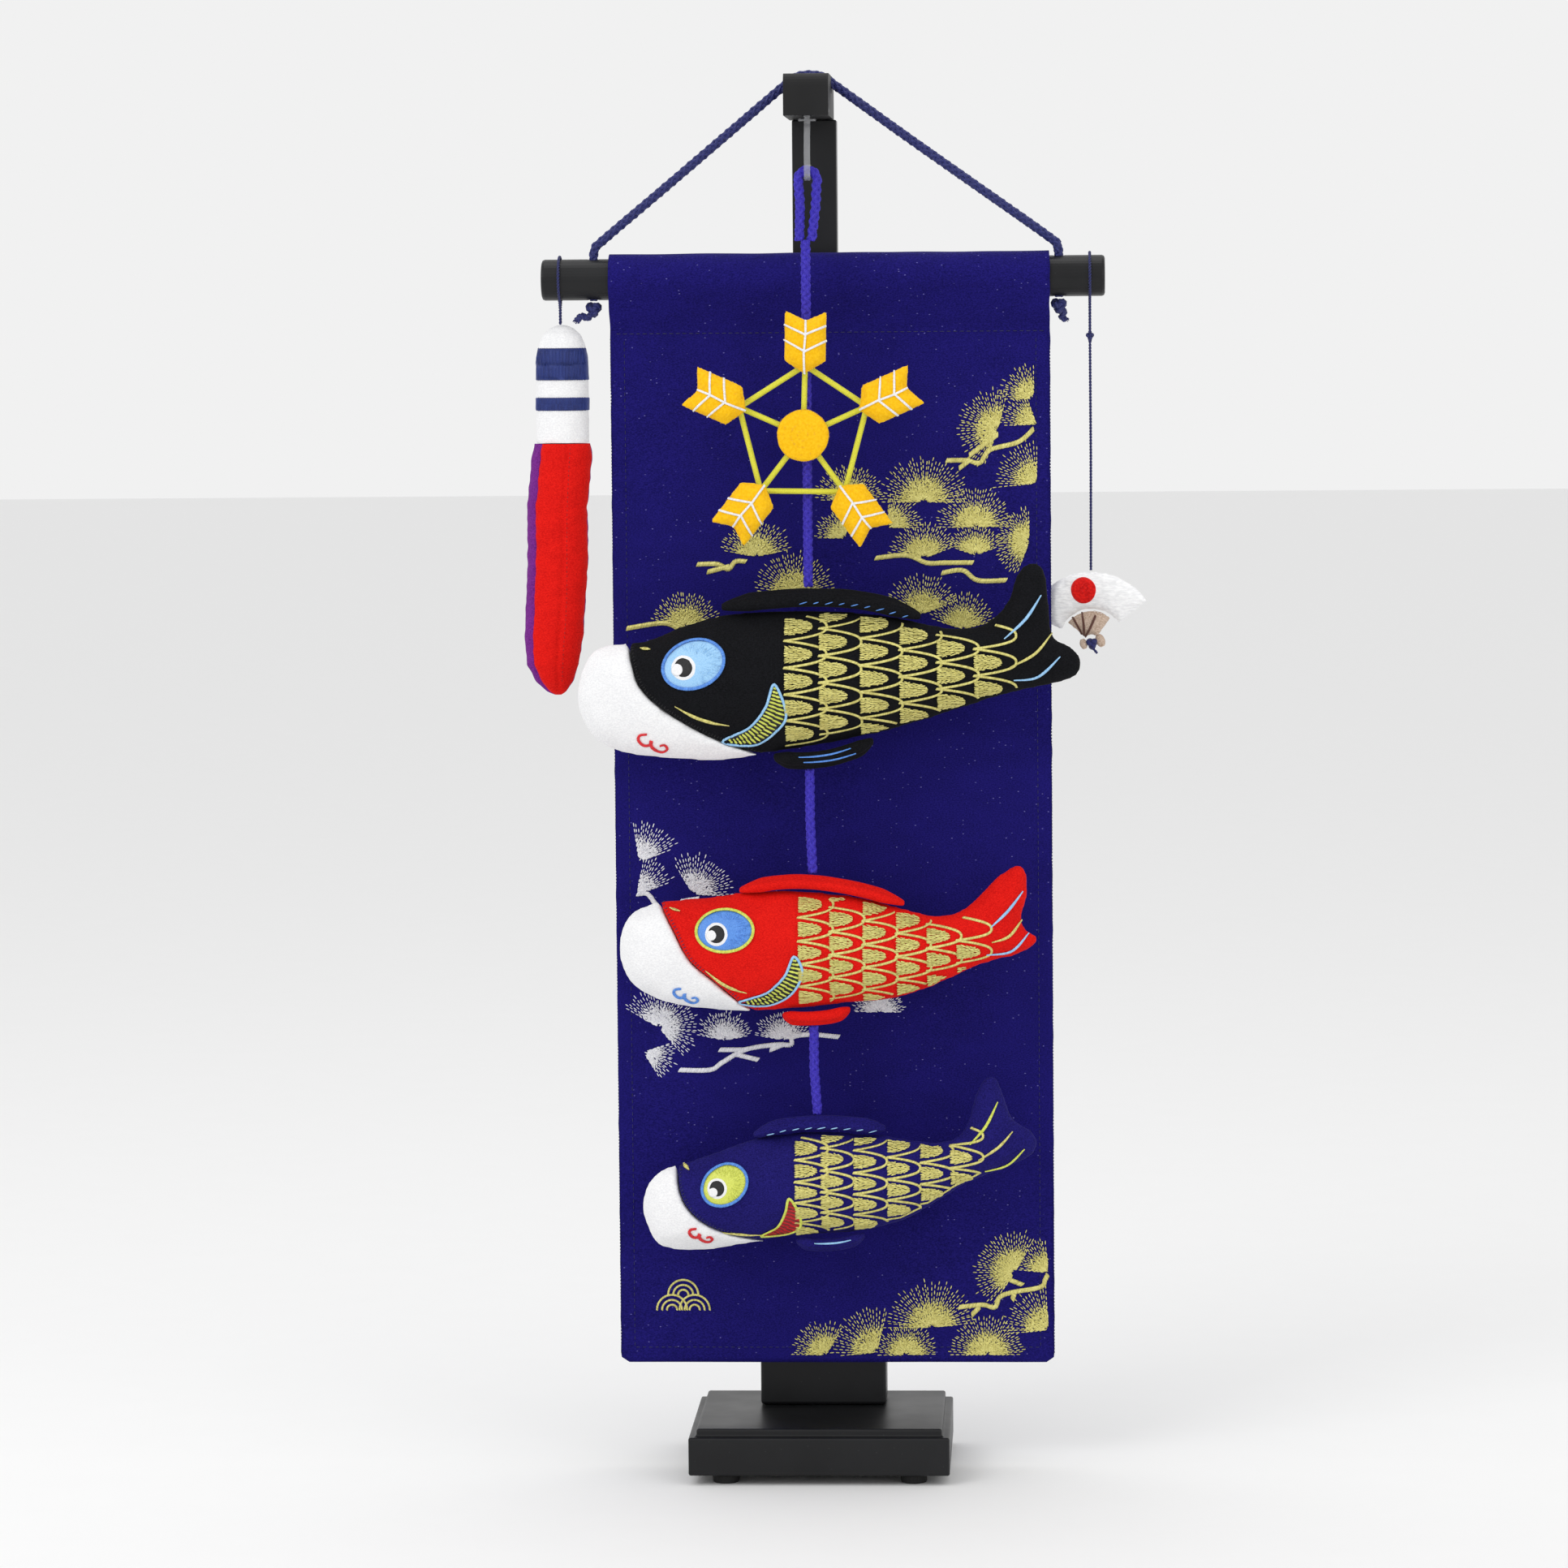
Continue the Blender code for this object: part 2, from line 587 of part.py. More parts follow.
def build_cloth():
    violet = cloth("violet_crepe", (0.02, 0.012, 0.13))
    inner = bar_radius + sleeve_clearance
    outer = inner + cloth_thickness
    half = cloth_thickness / 2
    profile = [*sleeve_ring(outer, sleeve_seam - 6 * mm), (-half, sleeve_seam), (-half, cloth_bottom),
               (half, cloth_bottom), (half, sleeve_seam)]
    banner = extrude_profile("banner_cloth", profile, cloth_left, cloth_right, violet)
    hole = [*sleeve_ring(inner, sleeve_seam + 2 * mm), (0, sleeve_seam + 2 * mm)]
    boolean(banner, extrude_profile("sleeve_hole", hole, cloth_left - mm, cloth_right + mm, violet))


# Streamer and fan


def build_thread_loop(name, x, end_z):
    """A loop over the bar whose two ends hang side by side down to end_z."""
    ring, side = bar_radius + 0.4 * mm + thread_radius, thread_radius + 0.25 * mm
    angles = [math.radians(-60 + 30 * k) for k in range(11)]
    route = [(x, side, end_z), (x, side, bar_z - 1.35 * ring)]
    route += [(x, ring * math.cos(a), bar_z + ring * math.sin(a)) for a in angles]
    route += [(x, -side, bar_z - 1.35 * ring), (x, -side, end_z)]
    tube(name, route, thread_radius, navy_cord())


def streamer_ring(z, middle, half_width, angles):
    return [(middle + half_width * math.cos(a), streamer_flatness * half_width * math.sin(a), z) for a in angles]


def build_streamer():
    build_thread_loop("streamer_thread", streamer_x, streamer_top + gap)
    full = [2 * math.pi * k / 20 for k in range(20)]
    tall = streamer_top - streamer_seam
    head = [(0, 0.12), (0.02, 0.35), (0.08, 0.62), (0.17, 0.76), (0.27, 0.83), (0.6, 0.86), (1, 0.86)]
    rings = [streamer_ring(streamer_top - share * tall, streamer_x + 0.5 * mm, width * streamer_half_width, full)
             for share, width in head]
    loft("streamer_head", rings, white_crepe())
    # Down the body: share of its height, sideways shift, share of the half width.
    body = [(0, 0.3, 0.92), (0.05, 0.1, 1), (0.25, -2.0, 0.99), (0.45, -2.0, 1), (0.62, -3.0, 0.98),
            (0.78, -4.0, 0.96), (0.88, -4.5, 0.86), (0.95, -3.8, 0.6), (0.99, -3.0, 0.3), (1, -2.6, 0.12)]
    low_seam = streamer_seam - gap
    front_angles = [math.radians(225 + 135 * k / 10) for k in range(11)]
    back_angles = [math.radians(225 * k / 14) for k in range(15)]
    panels = (("streamer_front_panels", front_angles, -1, cloth("red_crepe", (0.8, 0.01, 0.005))),
              ("streamer_back_panels", back_angles, 1, cloth("purple_crepe", (0.22, 0.02, 0.25))))
    for name, angles, way, look in panels:
        rings = []
        for share, shift, width in body:
            z, middle = low_seam - share * (low_seam - streamer_tip), streamer_x + shift * mm
            outside = streamer_ring(z, middle, width * streamer_half_width, angles)
            lining = streamer_ring(z, middle, width * streamer_half_width * (1 - streamer_wall), angles)
            rings.append([(x, y + way * gap / 2, z) for x, y, z in outside + lining[::-1]])
        loft(name, rings, look)


def sector(centre, inner, outer, start, end, steps=12):
    """Outline of part of a ring in the XZ plane, between two angles in degrees."""
    angles = [math.radians(start + (end - start) * k / steps) for k in range(steps + 1)]
    far = [centre + outer * Vector((math.cos(a), math.sin(a))) for a in angles]
    near = [centre + inner * Vector((math.cos(a), math.sin(a))) for a in reversed(angles)]
    return far + near


def build_fan():
    look = white_crepe()
    build_thread_loop("fan_loop", fan_x, fan_knot_z + fan_knot_radius + gap)
    ball("fan_knot", (fan_x, 0, fan_knot_z), fan_knot_radius, navy_cord())
    pivot = Vector((fan_pivot.x, fan_pivot.z))
    leaf = sector(pivot, fan_handle_radius + gap, fan_radius, 36, 158, 14)
    reach = 6 * mm
    pieces = [pillow("fan_leaf", leaf, 0, fan_half_thickness, reach, 3.5 * mm, look)]
    top = pivot.y + math.sqrt(fan_radius ** 2 - (fan_x - pivot.x) ** 2)
    tube("fan_thread", [(fan_x, 0, top + gap), (fan_x, 0, fan_knot_z - fan_knot_radius - gap)], thread_radius,
         navy_cord())
    handle = sector(pivot, 3.2 * mm, fan_handle_radius, 52, 142, 8)
    tan = cloth("tan_crepe", (0.55, 0.42, 0.32))
    pieces.append(pillow("fan_handle", handle, 0, 2.5 * mm, 4 * mm, 3 * mm, tan))
    pieces.append(ball("fan_pivot_knot", fan_pivot, 2.5 * mm, navy_cord()))
    spot = pivot + Vector((-2.6 * mm, 20.8 * mm))
    spot_outline = [spot + 5 * mm * Vector((math.cos(a), math.sin(a))) for a in
                    (2 * math.pi * k / 24 for k in range(24))]
    leaf_edge = [Vector(p) for p in leaf]

    def face(point):
        return -pillow_height(point, leaf_edge, reach, fan_half_thickness) - patch_gap

    red = cloth("red_felt", (0.75, 0.01, 0.01))
    pieces.append(solid_between("fan_disc", spot_outline, lambda p: face(p) - patch_thickness, face, 3 * mm, red))
    for piece in pieces:
        turn_about_thread(piece, fan_x, fan_turn)


# Arrow wheel


def wheel_plane():
    return carp_plane - string_radius - gap - wire_radius


def arrow_place(angle):
    way = Vector((math.cos(math.radians(angle)), 0, math.sin(math.radians(angle))))
    return wheel_centre + way * arrow_radius, way


def crossing(first, second):
    """Where two lines of the XZ plane meet, each given by two points on it."""
    (a, b), (c, d) = first, second
    way, other = b - a, d - c
    return a + way * ((c - a).cross(other) / way.cross(other))


def inset(corners, distance):
    """A convex outline, counterclockwise in the XZ plane, with each side moved inwards."""
    sides = []
    for start, end in zip(corners, corners[1:] + corners[:1]):
        way = (end - start).normalized()
        inwards = Vector((-way.y, way.x)) * distance
        sides.append((start + inwards, end + inwards))
    return [crossing(first, second) for first, second in zip(sides[-1:] + sides[:-1], sides)]


def prism(name, outline, middle_y, half_depth, look):
    bm = bmesh.new()
    face = bm.faces.new([bm.verts.new((p.x, middle_y - half_depth, p.y)) for p in outline])
    moved = bmesh.ops.extrude_face_region(bm, geom=[face])["geom"]
    bmesh.ops.translate(bm, verts=[v for v in moved if isinstance(v, bmesh.types.BMVert)],
                        vec=(0, 2 * half_depth, 0))
    return add_mesh(name, bm, look, smooth=False)


def build_wheel():
    wire = material("yellow_wire", (0.75, 0.72, 0.05), 0.6)
    y = wheel_plane()
    centre = Vector((wheel_centre.x, wheel_centre.z))
    ways = [Vector((math.cos(math.radians(a)), math.sin(math.radians(a)))) for a in arrow_angles]
    corners = [centre + way * rim_radius for way in reversed(ways)]
    frame = prism("wheel_frame", inset(corners, -wire_radius), y, wire_radius, wire)
    for number, (corner, following) in enumerate(zip(corners, corners[1:] + corners[:1]), 1):
        window = inset([centre, corner, following], wire_radius)
        boolean(frame, prism(f"wheel_window_{number}", window, y, 2 * wire_radius, wire))
    round_edges(frame, 0.6 * mm)
    front = y - wire_radius - gap
    felt = cloth("yellow_felt", (0.95, 0.5, 0.01))
    flat = Vector((wheel_centre.x, 0, wheel_centre.z))
    hub = rod("wheel_hub", flat + Vector((0, front, 0)), flat + Vector((0, front - hub_thickness, 0)), hub_radius,
              felt, 32)
    round_edges(hub, mm)
    for number, angle in enumerate(arrow_angles, 1):
        middle, way = arrow_place(angle)
        side = Vector((-way.z, 0, way.x))
        half_l, half_w = arrow_length / 2, arrow_width / 2
        shape = [(-half_l, 0), (-half_l + 5 * mm, -half_w), (half_l, -half_w), (half_l - 4 * mm, 0),
                 (half_l, half_w), (-half_l + 5 * mm, half_w)]
        outline = [middle + way * u + side * v for u, v in shape]
        pillow(f"wheel_arrow_{number}", [(p.x, p.z) for p in outline], front - arrow_half_thickness,
               arrow_half_thickness, 5 * mm, 3.5 * mm, felt)


# Carps


def carp_points(carp, percents):
    x, z = carp["nose"]
    return [Vector((x + carp["length"] * along / 100, z + carp["length"] * up / 100)) for along, up in percents]


def offset(points, distance):
    """An open run of points moved to its left by a distance."""
    moved = []
    for i, point in enumerate(points):
        way = (points[min(i + 1, len(points) - 1)] - points[max(i - 1, 0)]).normalized()
        moved.append(point + Vector((-way.y, way.x)) * distance)
    return moved


def carp_outline(carp, steps=3):
    """The whole fish, clockwise from the top of the cheek seam, and how many of its points belong to the body."""
    top, bottom = carp["cheek"][0], carp["cheek"][-1]
    loop = [top, *carp["body_edge"], bottom, *reversed(carp["nose_edge"])]
    return spline(carp_points(carp, loop), steps, closed=True), (len(carp["body_edge"]) + 1) * steps + 1


def carp_height(carp, outline):
    """Half the thickness of the stuffed fish at a point."""
    reach = 0.145 * carp["length"]

    def height(point):
        along = (point.x - carp["nose"][0]) / carp["length"]
        taper = max(0.0, min(1.0, (along - tail_taper_start) / (1 - tail_taper_start)))
        return pillow_height(point, outline, reach, carp["half_thickness"]) * (1 - tail_thinness * taper)

    return height


def fin_outline(carp, body_run, start, end, height):
    """A rolled fin along the body's edge, between two places given in percent of the length."""
    nose, length = carp["nose"][0], carp["length"]
    run = [p for p in body_run if start <= 100 * (p.x - nose) / length <= end]
    inner = offset(run, gap)
    last = len(run) - 1
    outer = [a + (b - a).normalized() * height * max(0.15, math.sin(math.pi * k / last)) ** 0.45
             for k, (a, b) in enumerate(zip(inner, offset(run, 2 * gap)))]
    return inner + outer[::-1]


def extreme_z(outline, x, pick):
    """Highest or lowest point of an outline at this X."""
    found = [a.y + (b.y - a.y) * (x - a.x) / (b.x - a.x) for a, b in zip(outline, outline[1:] + outline[:1])
             if min(a.x, b.x) <= x < max(a.x, b.x)]
    return pick(found)


def carp_fins(carp):
    outline, body_count = carp_outline(carp)
    body_run = outline[:body_count]
    tail = max(range(body_count), key=lambda i: body_run[i].x)
    height = fin_height * carp["length"]
    return {"dorsal_fin": fin_outline(carp, body_run[:tail], *carp["dorsal"], height),
            "belly_fin": fin_outline(carp, body_run[tail:], *carp["belly"], height)}


def build_carp(name, carp, skin):
    outline, body_count = carp_outline(carp)
    height = carp_height(carp, outline)

    def front(point):
        return carp_plane - height(point)

    def back(point):
        return carp_plane + height(point)

    cheek = spline(carp_points(carp, carp["cheek"]), 3)
    body = outline[:body_count] + cheek[-2:0:-1]
    solid_between(f"{name}_body", body, front, back, 5.5 * mm, skin)
    face = outline[body_count:] + offset(cheek, -gap)
    solid_between(f"{name}_face", face, front, back, 5.5 * mm, white_crepe())
    for fin, fin_edge in carp_fins(carp).items():
        pillow(f"{name}_{fin}", fin_edge, carp_plane, fin_half_thickness, 0.5 * fin_height * carp["length"],
               4 * mm, skin)

    def patch_back(point):
        return front(point) - patch_gap

    def patch_front(point):
        return patch_back(point) - patch_thickness

    middle = carp_points(carp, [carp["eye"]])[0]
    tilt = Matrix.Rotation(math.radians(carp["eye_tilt"]), 2)
    long_half, short_half = carp["eye_size"]
    eye = [middle + tilt @ Vector((long_half * math.cos(a), short_half * math.sin(a)))
           for a in (2 * math.pi * k / 20 for k in range(20))]
    solid_between(f"{name}_eye", eye, patch_front, patch_back, 4 * mm, cloth("eye_blue", (0.1, 0.4, 0.85)))
    gill = spline(carp_points(carp, carp["gill"]), 3, closed=True)
    solid_between(f"{name}_gill", gill, patch_front, patch_back, 4 * mm, cloth("gill_blue", (0.4, 0.7, 0.85)))


def build_string():
    """The cord: a bight in the hanger, then one run to each carp."""
    x, y, z = string_top
    wide, close, join = 3.6 * mm, 2.35 * mm, 484 * mm
    bight = [(x - wide * math.cos(a), y, z - wide + wide * math.sin(a)) for a in
             (math.radians(30 * k) for k in range(7))]
    top_x = carps["black"]["string_x"]
    route = [(top_x - close, y, join), (x - 3.0 * mm, y, z - 14 * mm), *bight, (x + 3.0 * mm, y, z - 14 * mm),
             (top_x + close, y, join)]
    tube("cord_loop", route, string_radius, violet_cord(), 0.6)
    upper = join - gap
    for name, carp in (("cord_top", "black"), ("cord_middle", "red"), ("cord_lower", "blue")):
        fins, place = carp_fins(carps[carp]), carps[carp]["string_x"]
        lower = extreme_z(fins["dorsal_fin"], place, max) + string_gap
        tube(name, [(top_x, y, upper), (place, y, lower)], string_radius, violet_cord())
        upper, top_x = extreme_z(fins["belly_fin"], place, min) - string_gap, place


def place_on_origin():
    """Carries every piece to the origin of the library's frame."""
    root = bpy.data.objects.new("carp_streamer", None)
    bpy.context.scene.collection.objects.link(root)
    for obj in list(bpy.data.objects):
        if obj is not root:
            obj.parent = root
    root.location.x = box_shift


def main():
    clear_scene()
    build_feet()
    build_base()
    build_column()
    build_column_screws()
    build_post()
    build_block()
    build_block_screw()
    build_pin()
    build_hanger()
    build_bar()
    build_banner_cord()
    build_cloth()
    build_streamer()
    build_fan()
    build_wheel()
    skins = {"black": (0.008, 0.009, 0.012), "red": (0.8, 0.01, 0.008), "blue": (0.015, 0.015, 0.12)}
    for name, carp in carps.items():
        build_carp(name, carp, cloth(f"{name}_skin", skins[name]))
    build_string()
    place_on_origin()


main()
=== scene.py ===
import math
import random

import bmesh
import bpy
import numpy as np
from mathutils import Matrix, Vector, noise
from mathutils.bvhtree import BVHTree


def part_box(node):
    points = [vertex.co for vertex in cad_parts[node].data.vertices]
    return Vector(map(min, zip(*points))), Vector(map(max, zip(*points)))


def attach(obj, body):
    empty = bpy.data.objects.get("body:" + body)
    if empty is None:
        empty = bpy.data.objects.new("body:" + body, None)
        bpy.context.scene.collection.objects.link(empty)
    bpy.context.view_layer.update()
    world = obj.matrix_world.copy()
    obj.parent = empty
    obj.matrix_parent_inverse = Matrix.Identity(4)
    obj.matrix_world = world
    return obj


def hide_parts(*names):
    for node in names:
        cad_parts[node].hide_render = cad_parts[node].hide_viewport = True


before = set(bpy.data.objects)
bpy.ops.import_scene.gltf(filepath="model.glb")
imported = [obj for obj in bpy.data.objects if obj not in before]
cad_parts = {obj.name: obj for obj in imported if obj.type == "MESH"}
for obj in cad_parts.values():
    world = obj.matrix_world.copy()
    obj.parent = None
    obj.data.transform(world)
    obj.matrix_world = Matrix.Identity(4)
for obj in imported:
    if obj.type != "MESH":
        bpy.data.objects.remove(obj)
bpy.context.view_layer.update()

mm = 0.001
scene = bpy.context.scene
print("frame loaded:", len(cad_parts), "nodes")


# Camera

cameraPlace = {
    "at": (83.2 * mm, -2215.2 * mm, 456.4 * mm),
    "down": 0.0833, "left": 0.0469, "roll": -0.0085,  # radians
    "lens": 129.78, "sensor": 36.0,
}


def makeCamera():
    data = bpy.data.cameras.new("camera")
    data.lens, data.sensor_width = cameraPlace["lens"], cameraPlace["sensor"]
    data.clip_start, data.clip_end = 0.1, 20
    camera = bpy.data.objects.new("camera", data)
    scene.collection.objects.link(camera)
    turn = (Matrix.Rotation(cameraPlace["left"], 4, "Z")
            @ Matrix.Rotation(math.pi / 2 - cameraPlace["down"], 4, "X")
            @ Matrix.Rotation(cameraPlace["roll"], 4, "Z"))
    camera.matrix_world = Matrix.Translation(cameraPlace["at"]) @ turn
    scene.camera = camera


makeCamera()
print("camera placed")


# Materials: small helpers first

def newNode(tree, kind, inputs=None, **settings):
    made = tree.nodes.new(kind)
    for name, value in settings.items():
        setattr(made, name, value)
    for name, value in (inputs or {}).items():
        if isinstance(value, bpy.types.NodeSocket):
            tree.links.new(value, made.inputs[name])
        else:
            made.inputs[name].default_value = value
    return made


def startLook(name, roughness, metallic=0.0, plain=None):
    look = bpy.data.materials.new(name)
    look.use_nodes = True
    tree = look.node_tree
    shader = tree.nodes["Principled BSDF"]
    shader.inputs["Roughness"].default_value = roughness
    shader.inputs["Metallic"].default_value = metallic
    for socket, value in (plain or {}).items():
        shader.inputs[socket].default_value = value
    return look, tree, shader


def stretched(tree, scale):  # object coordinates, drawn out along some axes
    place = newNode(tree, "ShaderNodeTexCoord").outputs["Object"]
    return newNode(tree, "ShaderNodeMapping", {"Vector": place, "Scale": scale}).outputs["Vector"]


def noiseOn(tree, place, scale, detail=3.0, roughness=0.55):
    return newNode(tree, "ShaderNodeTexNoise", {"Vector": place, "Scale": scale, "Detail": detail,
                                                "Roughness": roughness}).outputs["Fac"]


def rangeOf(tree, value, low, high, toLow=0.0, toHigh=1.0):
    return newNode(tree, "ShaderNodeMapRange", {"Value": value, "From Min": low, "From Max": high,
                                                "To Min": toLow, "To Max": toHigh}).outputs["Result"]


def sumOf(tree, first, second, operation="ADD"):
    made = newNode(tree, "ShaderNodeMath", operation=operation)
    for socket, value in zip(made.inputs, (first, second)):
        if isinstance(value, bpy.types.NodeSocket):
            tree.links.new(value, socket)
        else:
            socket.default_value = value
    return made.outputs[0]


def mixOf(tree, share, dark, light):
    made = newNode(tree, "ShaderNodeMix", data_type="RGBA")
    for number, value in ((0, share), (6, dark), (7, light)):
        if isinstance(value, bpy.types.NodeSocket):
            tree.links.new(value, made.inputs[number])
        else:
            made.inputs[number].default_value = value if number == 0 else (*value[:3], 1)
    return made.outputs[2]


def bumpFrom(tree, shader, height, strength, depth):
    made = newNode(tree, "ShaderNodeBump", {"Height": height, "Strength": strength, "Distance": depth})
    tree.links.new(made.outputs["Normal"], shader.inputs["Normal"])


def crepeLook(name, dark, light, grain=1500, strength=0.5, sheen=0.25, flecks=None, draw=(1, 1, 1.7)):
    # crepe: an irregular pebbled weave
    look, tree, shader = startLook(name, 0.82, plain={"Sheen Weight": sheen, "Sheen Roughness": 0.4,
                                                      "Specular IOR Level": 0.12})
    place = stretched(tree, draw)
    pebble = noiseOn(tree, place, grain, 2.0)
    patch = noiseOn(tree, place, 55, 2.0)
    weave = newNode(tree, "ShaderNodeTexVoronoi", {"Vector": place, "Scale": grain * 0.9}).outputs["Distance"]
    share = sumOf(tree, rangeOf(tree, pebble, 0.34, 0.66), rangeOf(tree, patch, 0.3, 0.7, -0.15, 0.15))
    colour = mixOf(tree, share, dark, light)
    if flecks:
        speck = newNode(tree, "ShaderNodeTexVoronoi", {"Vector": place, "Scale": flecks["scale"]}).outputs
        lit = rangeOf(tree, speck["Distance"], flecks["size"], flecks["size"] * 0.45)
        fewer = newNode(tree, "ShaderNodeSeparateColor", {"Color": speck["Color"]}).outputs["Red"]
        lit = sumOf(tree, lit, rangeOf(tree, fewer, flecks["few"], flecks["few"] + 0.05), "MULTIPLY")
        colour = mixOf(tree, lit, colour, flecks["colour"])
    tree.links.new(colour, shader.inputs["Base Color"])
    tree.links.new(rangeOf(tree, pebble, 0.3, 0.7, 0.9, 0.72), shader.inputs["Roughness"])
    bumpFrom(tree, shader, sumOf(tree, pebble, weave), strength, 0.12 * mm)
    return look


def threadLook(name, dark, light, metallic=0.0, roughness=0.45, grain=2600, sheen=0.06):
    # thread: each stitch has its own shade, and fine fibres along it
    look, tree, shader = startLook(name, roughness, metallic, {"Sheen Weight": sheen})
    own = newNode(tree, "ShaderNodeAttribute", attribute_name="shade").outputs["Fac"]
    place = stretched(tree, (1, 1, 1))
    fibre = noiseOn(tree, place, grain, 3.0, 0.7)
    share = sumOf(tree, rangeOf(tree, fibre, 0.35, 0.65, 0.0, 0.6), sumOf(tree, own, 0.5, "MULTIPLY"))
    tree.links.new(mixOf(tree, share, dark, light), shader.inputs["Base Color"])
    tree.links.new(rangeOf(tree, fibre, 0.3, 0.7, roughness + 0.12, roughness - 0.12),
                   shader.inputs["Roughness"])
    bumpFrom(tree, shader, fibre, 0.5, 0.1 * mm)
    return look


def lacquerLook(name, colour, roughness, grain=900, coat=0.25):
    look, tree, shader = startLook(name, roughness, plain={"Coat Weight": coat, "Coat Roughness": 0.28,
                                                      "Specular IOR Level": 0.22})
    place = stretched(tree, (1, 1, 1))
    peel, cloud = noiseOn(tree, place, grain, 2.0), noiseOn(tree, place, 28, 3.0)
    dust = newNode(tree, "ShaderNodeTexVoronoi", {"Vector": place, "Scale": 260}).outputs["Distance"]
    specks = rangeOf(tree, dust, 0.05, 0.02)
    base = mixOf(tree, rangeOf(tree, cloud, 0.3, 0.7), colour, [c * 1.7 + 0.001 for c in colour])
    tree.links.new(mixOf(tree, sumOf(tree, specks, 0.12, "MULTIPLY"), base, (0.3, 0.3, 0.3)),
                   shader.inputs["Base Color"])
    tree.links.new(rangeOf(tree, cloud, 0.25, 0.75, roughness - 0.06, roughness + 0.1),
                   shader.inputs["Roughness"])
    bumpFrom(tree, shader, peel, 0.12, 0.05 * mm)
    return look


def clearLook():
    look, tree, shader = startLook("clearPlastic", 0.12, plain={"Transmission Weight": 0.85, "IOR": 1.46})
    place = stretched(tree, (1, 1, 0.3))
    flow = noiseOn(tree, place, 500, 2.0)
    tree.links.new(mixOf(tree, flow, (0.75, 0.77, 0.8), (0.95, 0.96, 0.98)), shader.inputs["Base Color"])
    bumpFrom(tree, shader, flow, 0.35, 0.15 * mm)
    return look


def steelLook():
    look, tree, shader = startLook("brushedSteel", 0.32, 1.0)
    scratch = noiseOn(tree, stretched(tree, (1, 1, 14)), 900, 2.0)
    tree.links.new(mixOf(tree, scratch, (0.42, 0.42, 0.44), (0.68, 0.68, 0.7)), shader.inputs["Base Color"])
    tree.links.new(rangeOf(tree, scratch, 0.3, 0.7, 0.25, 0.42), shader.inputs["Roughness"])
    return look


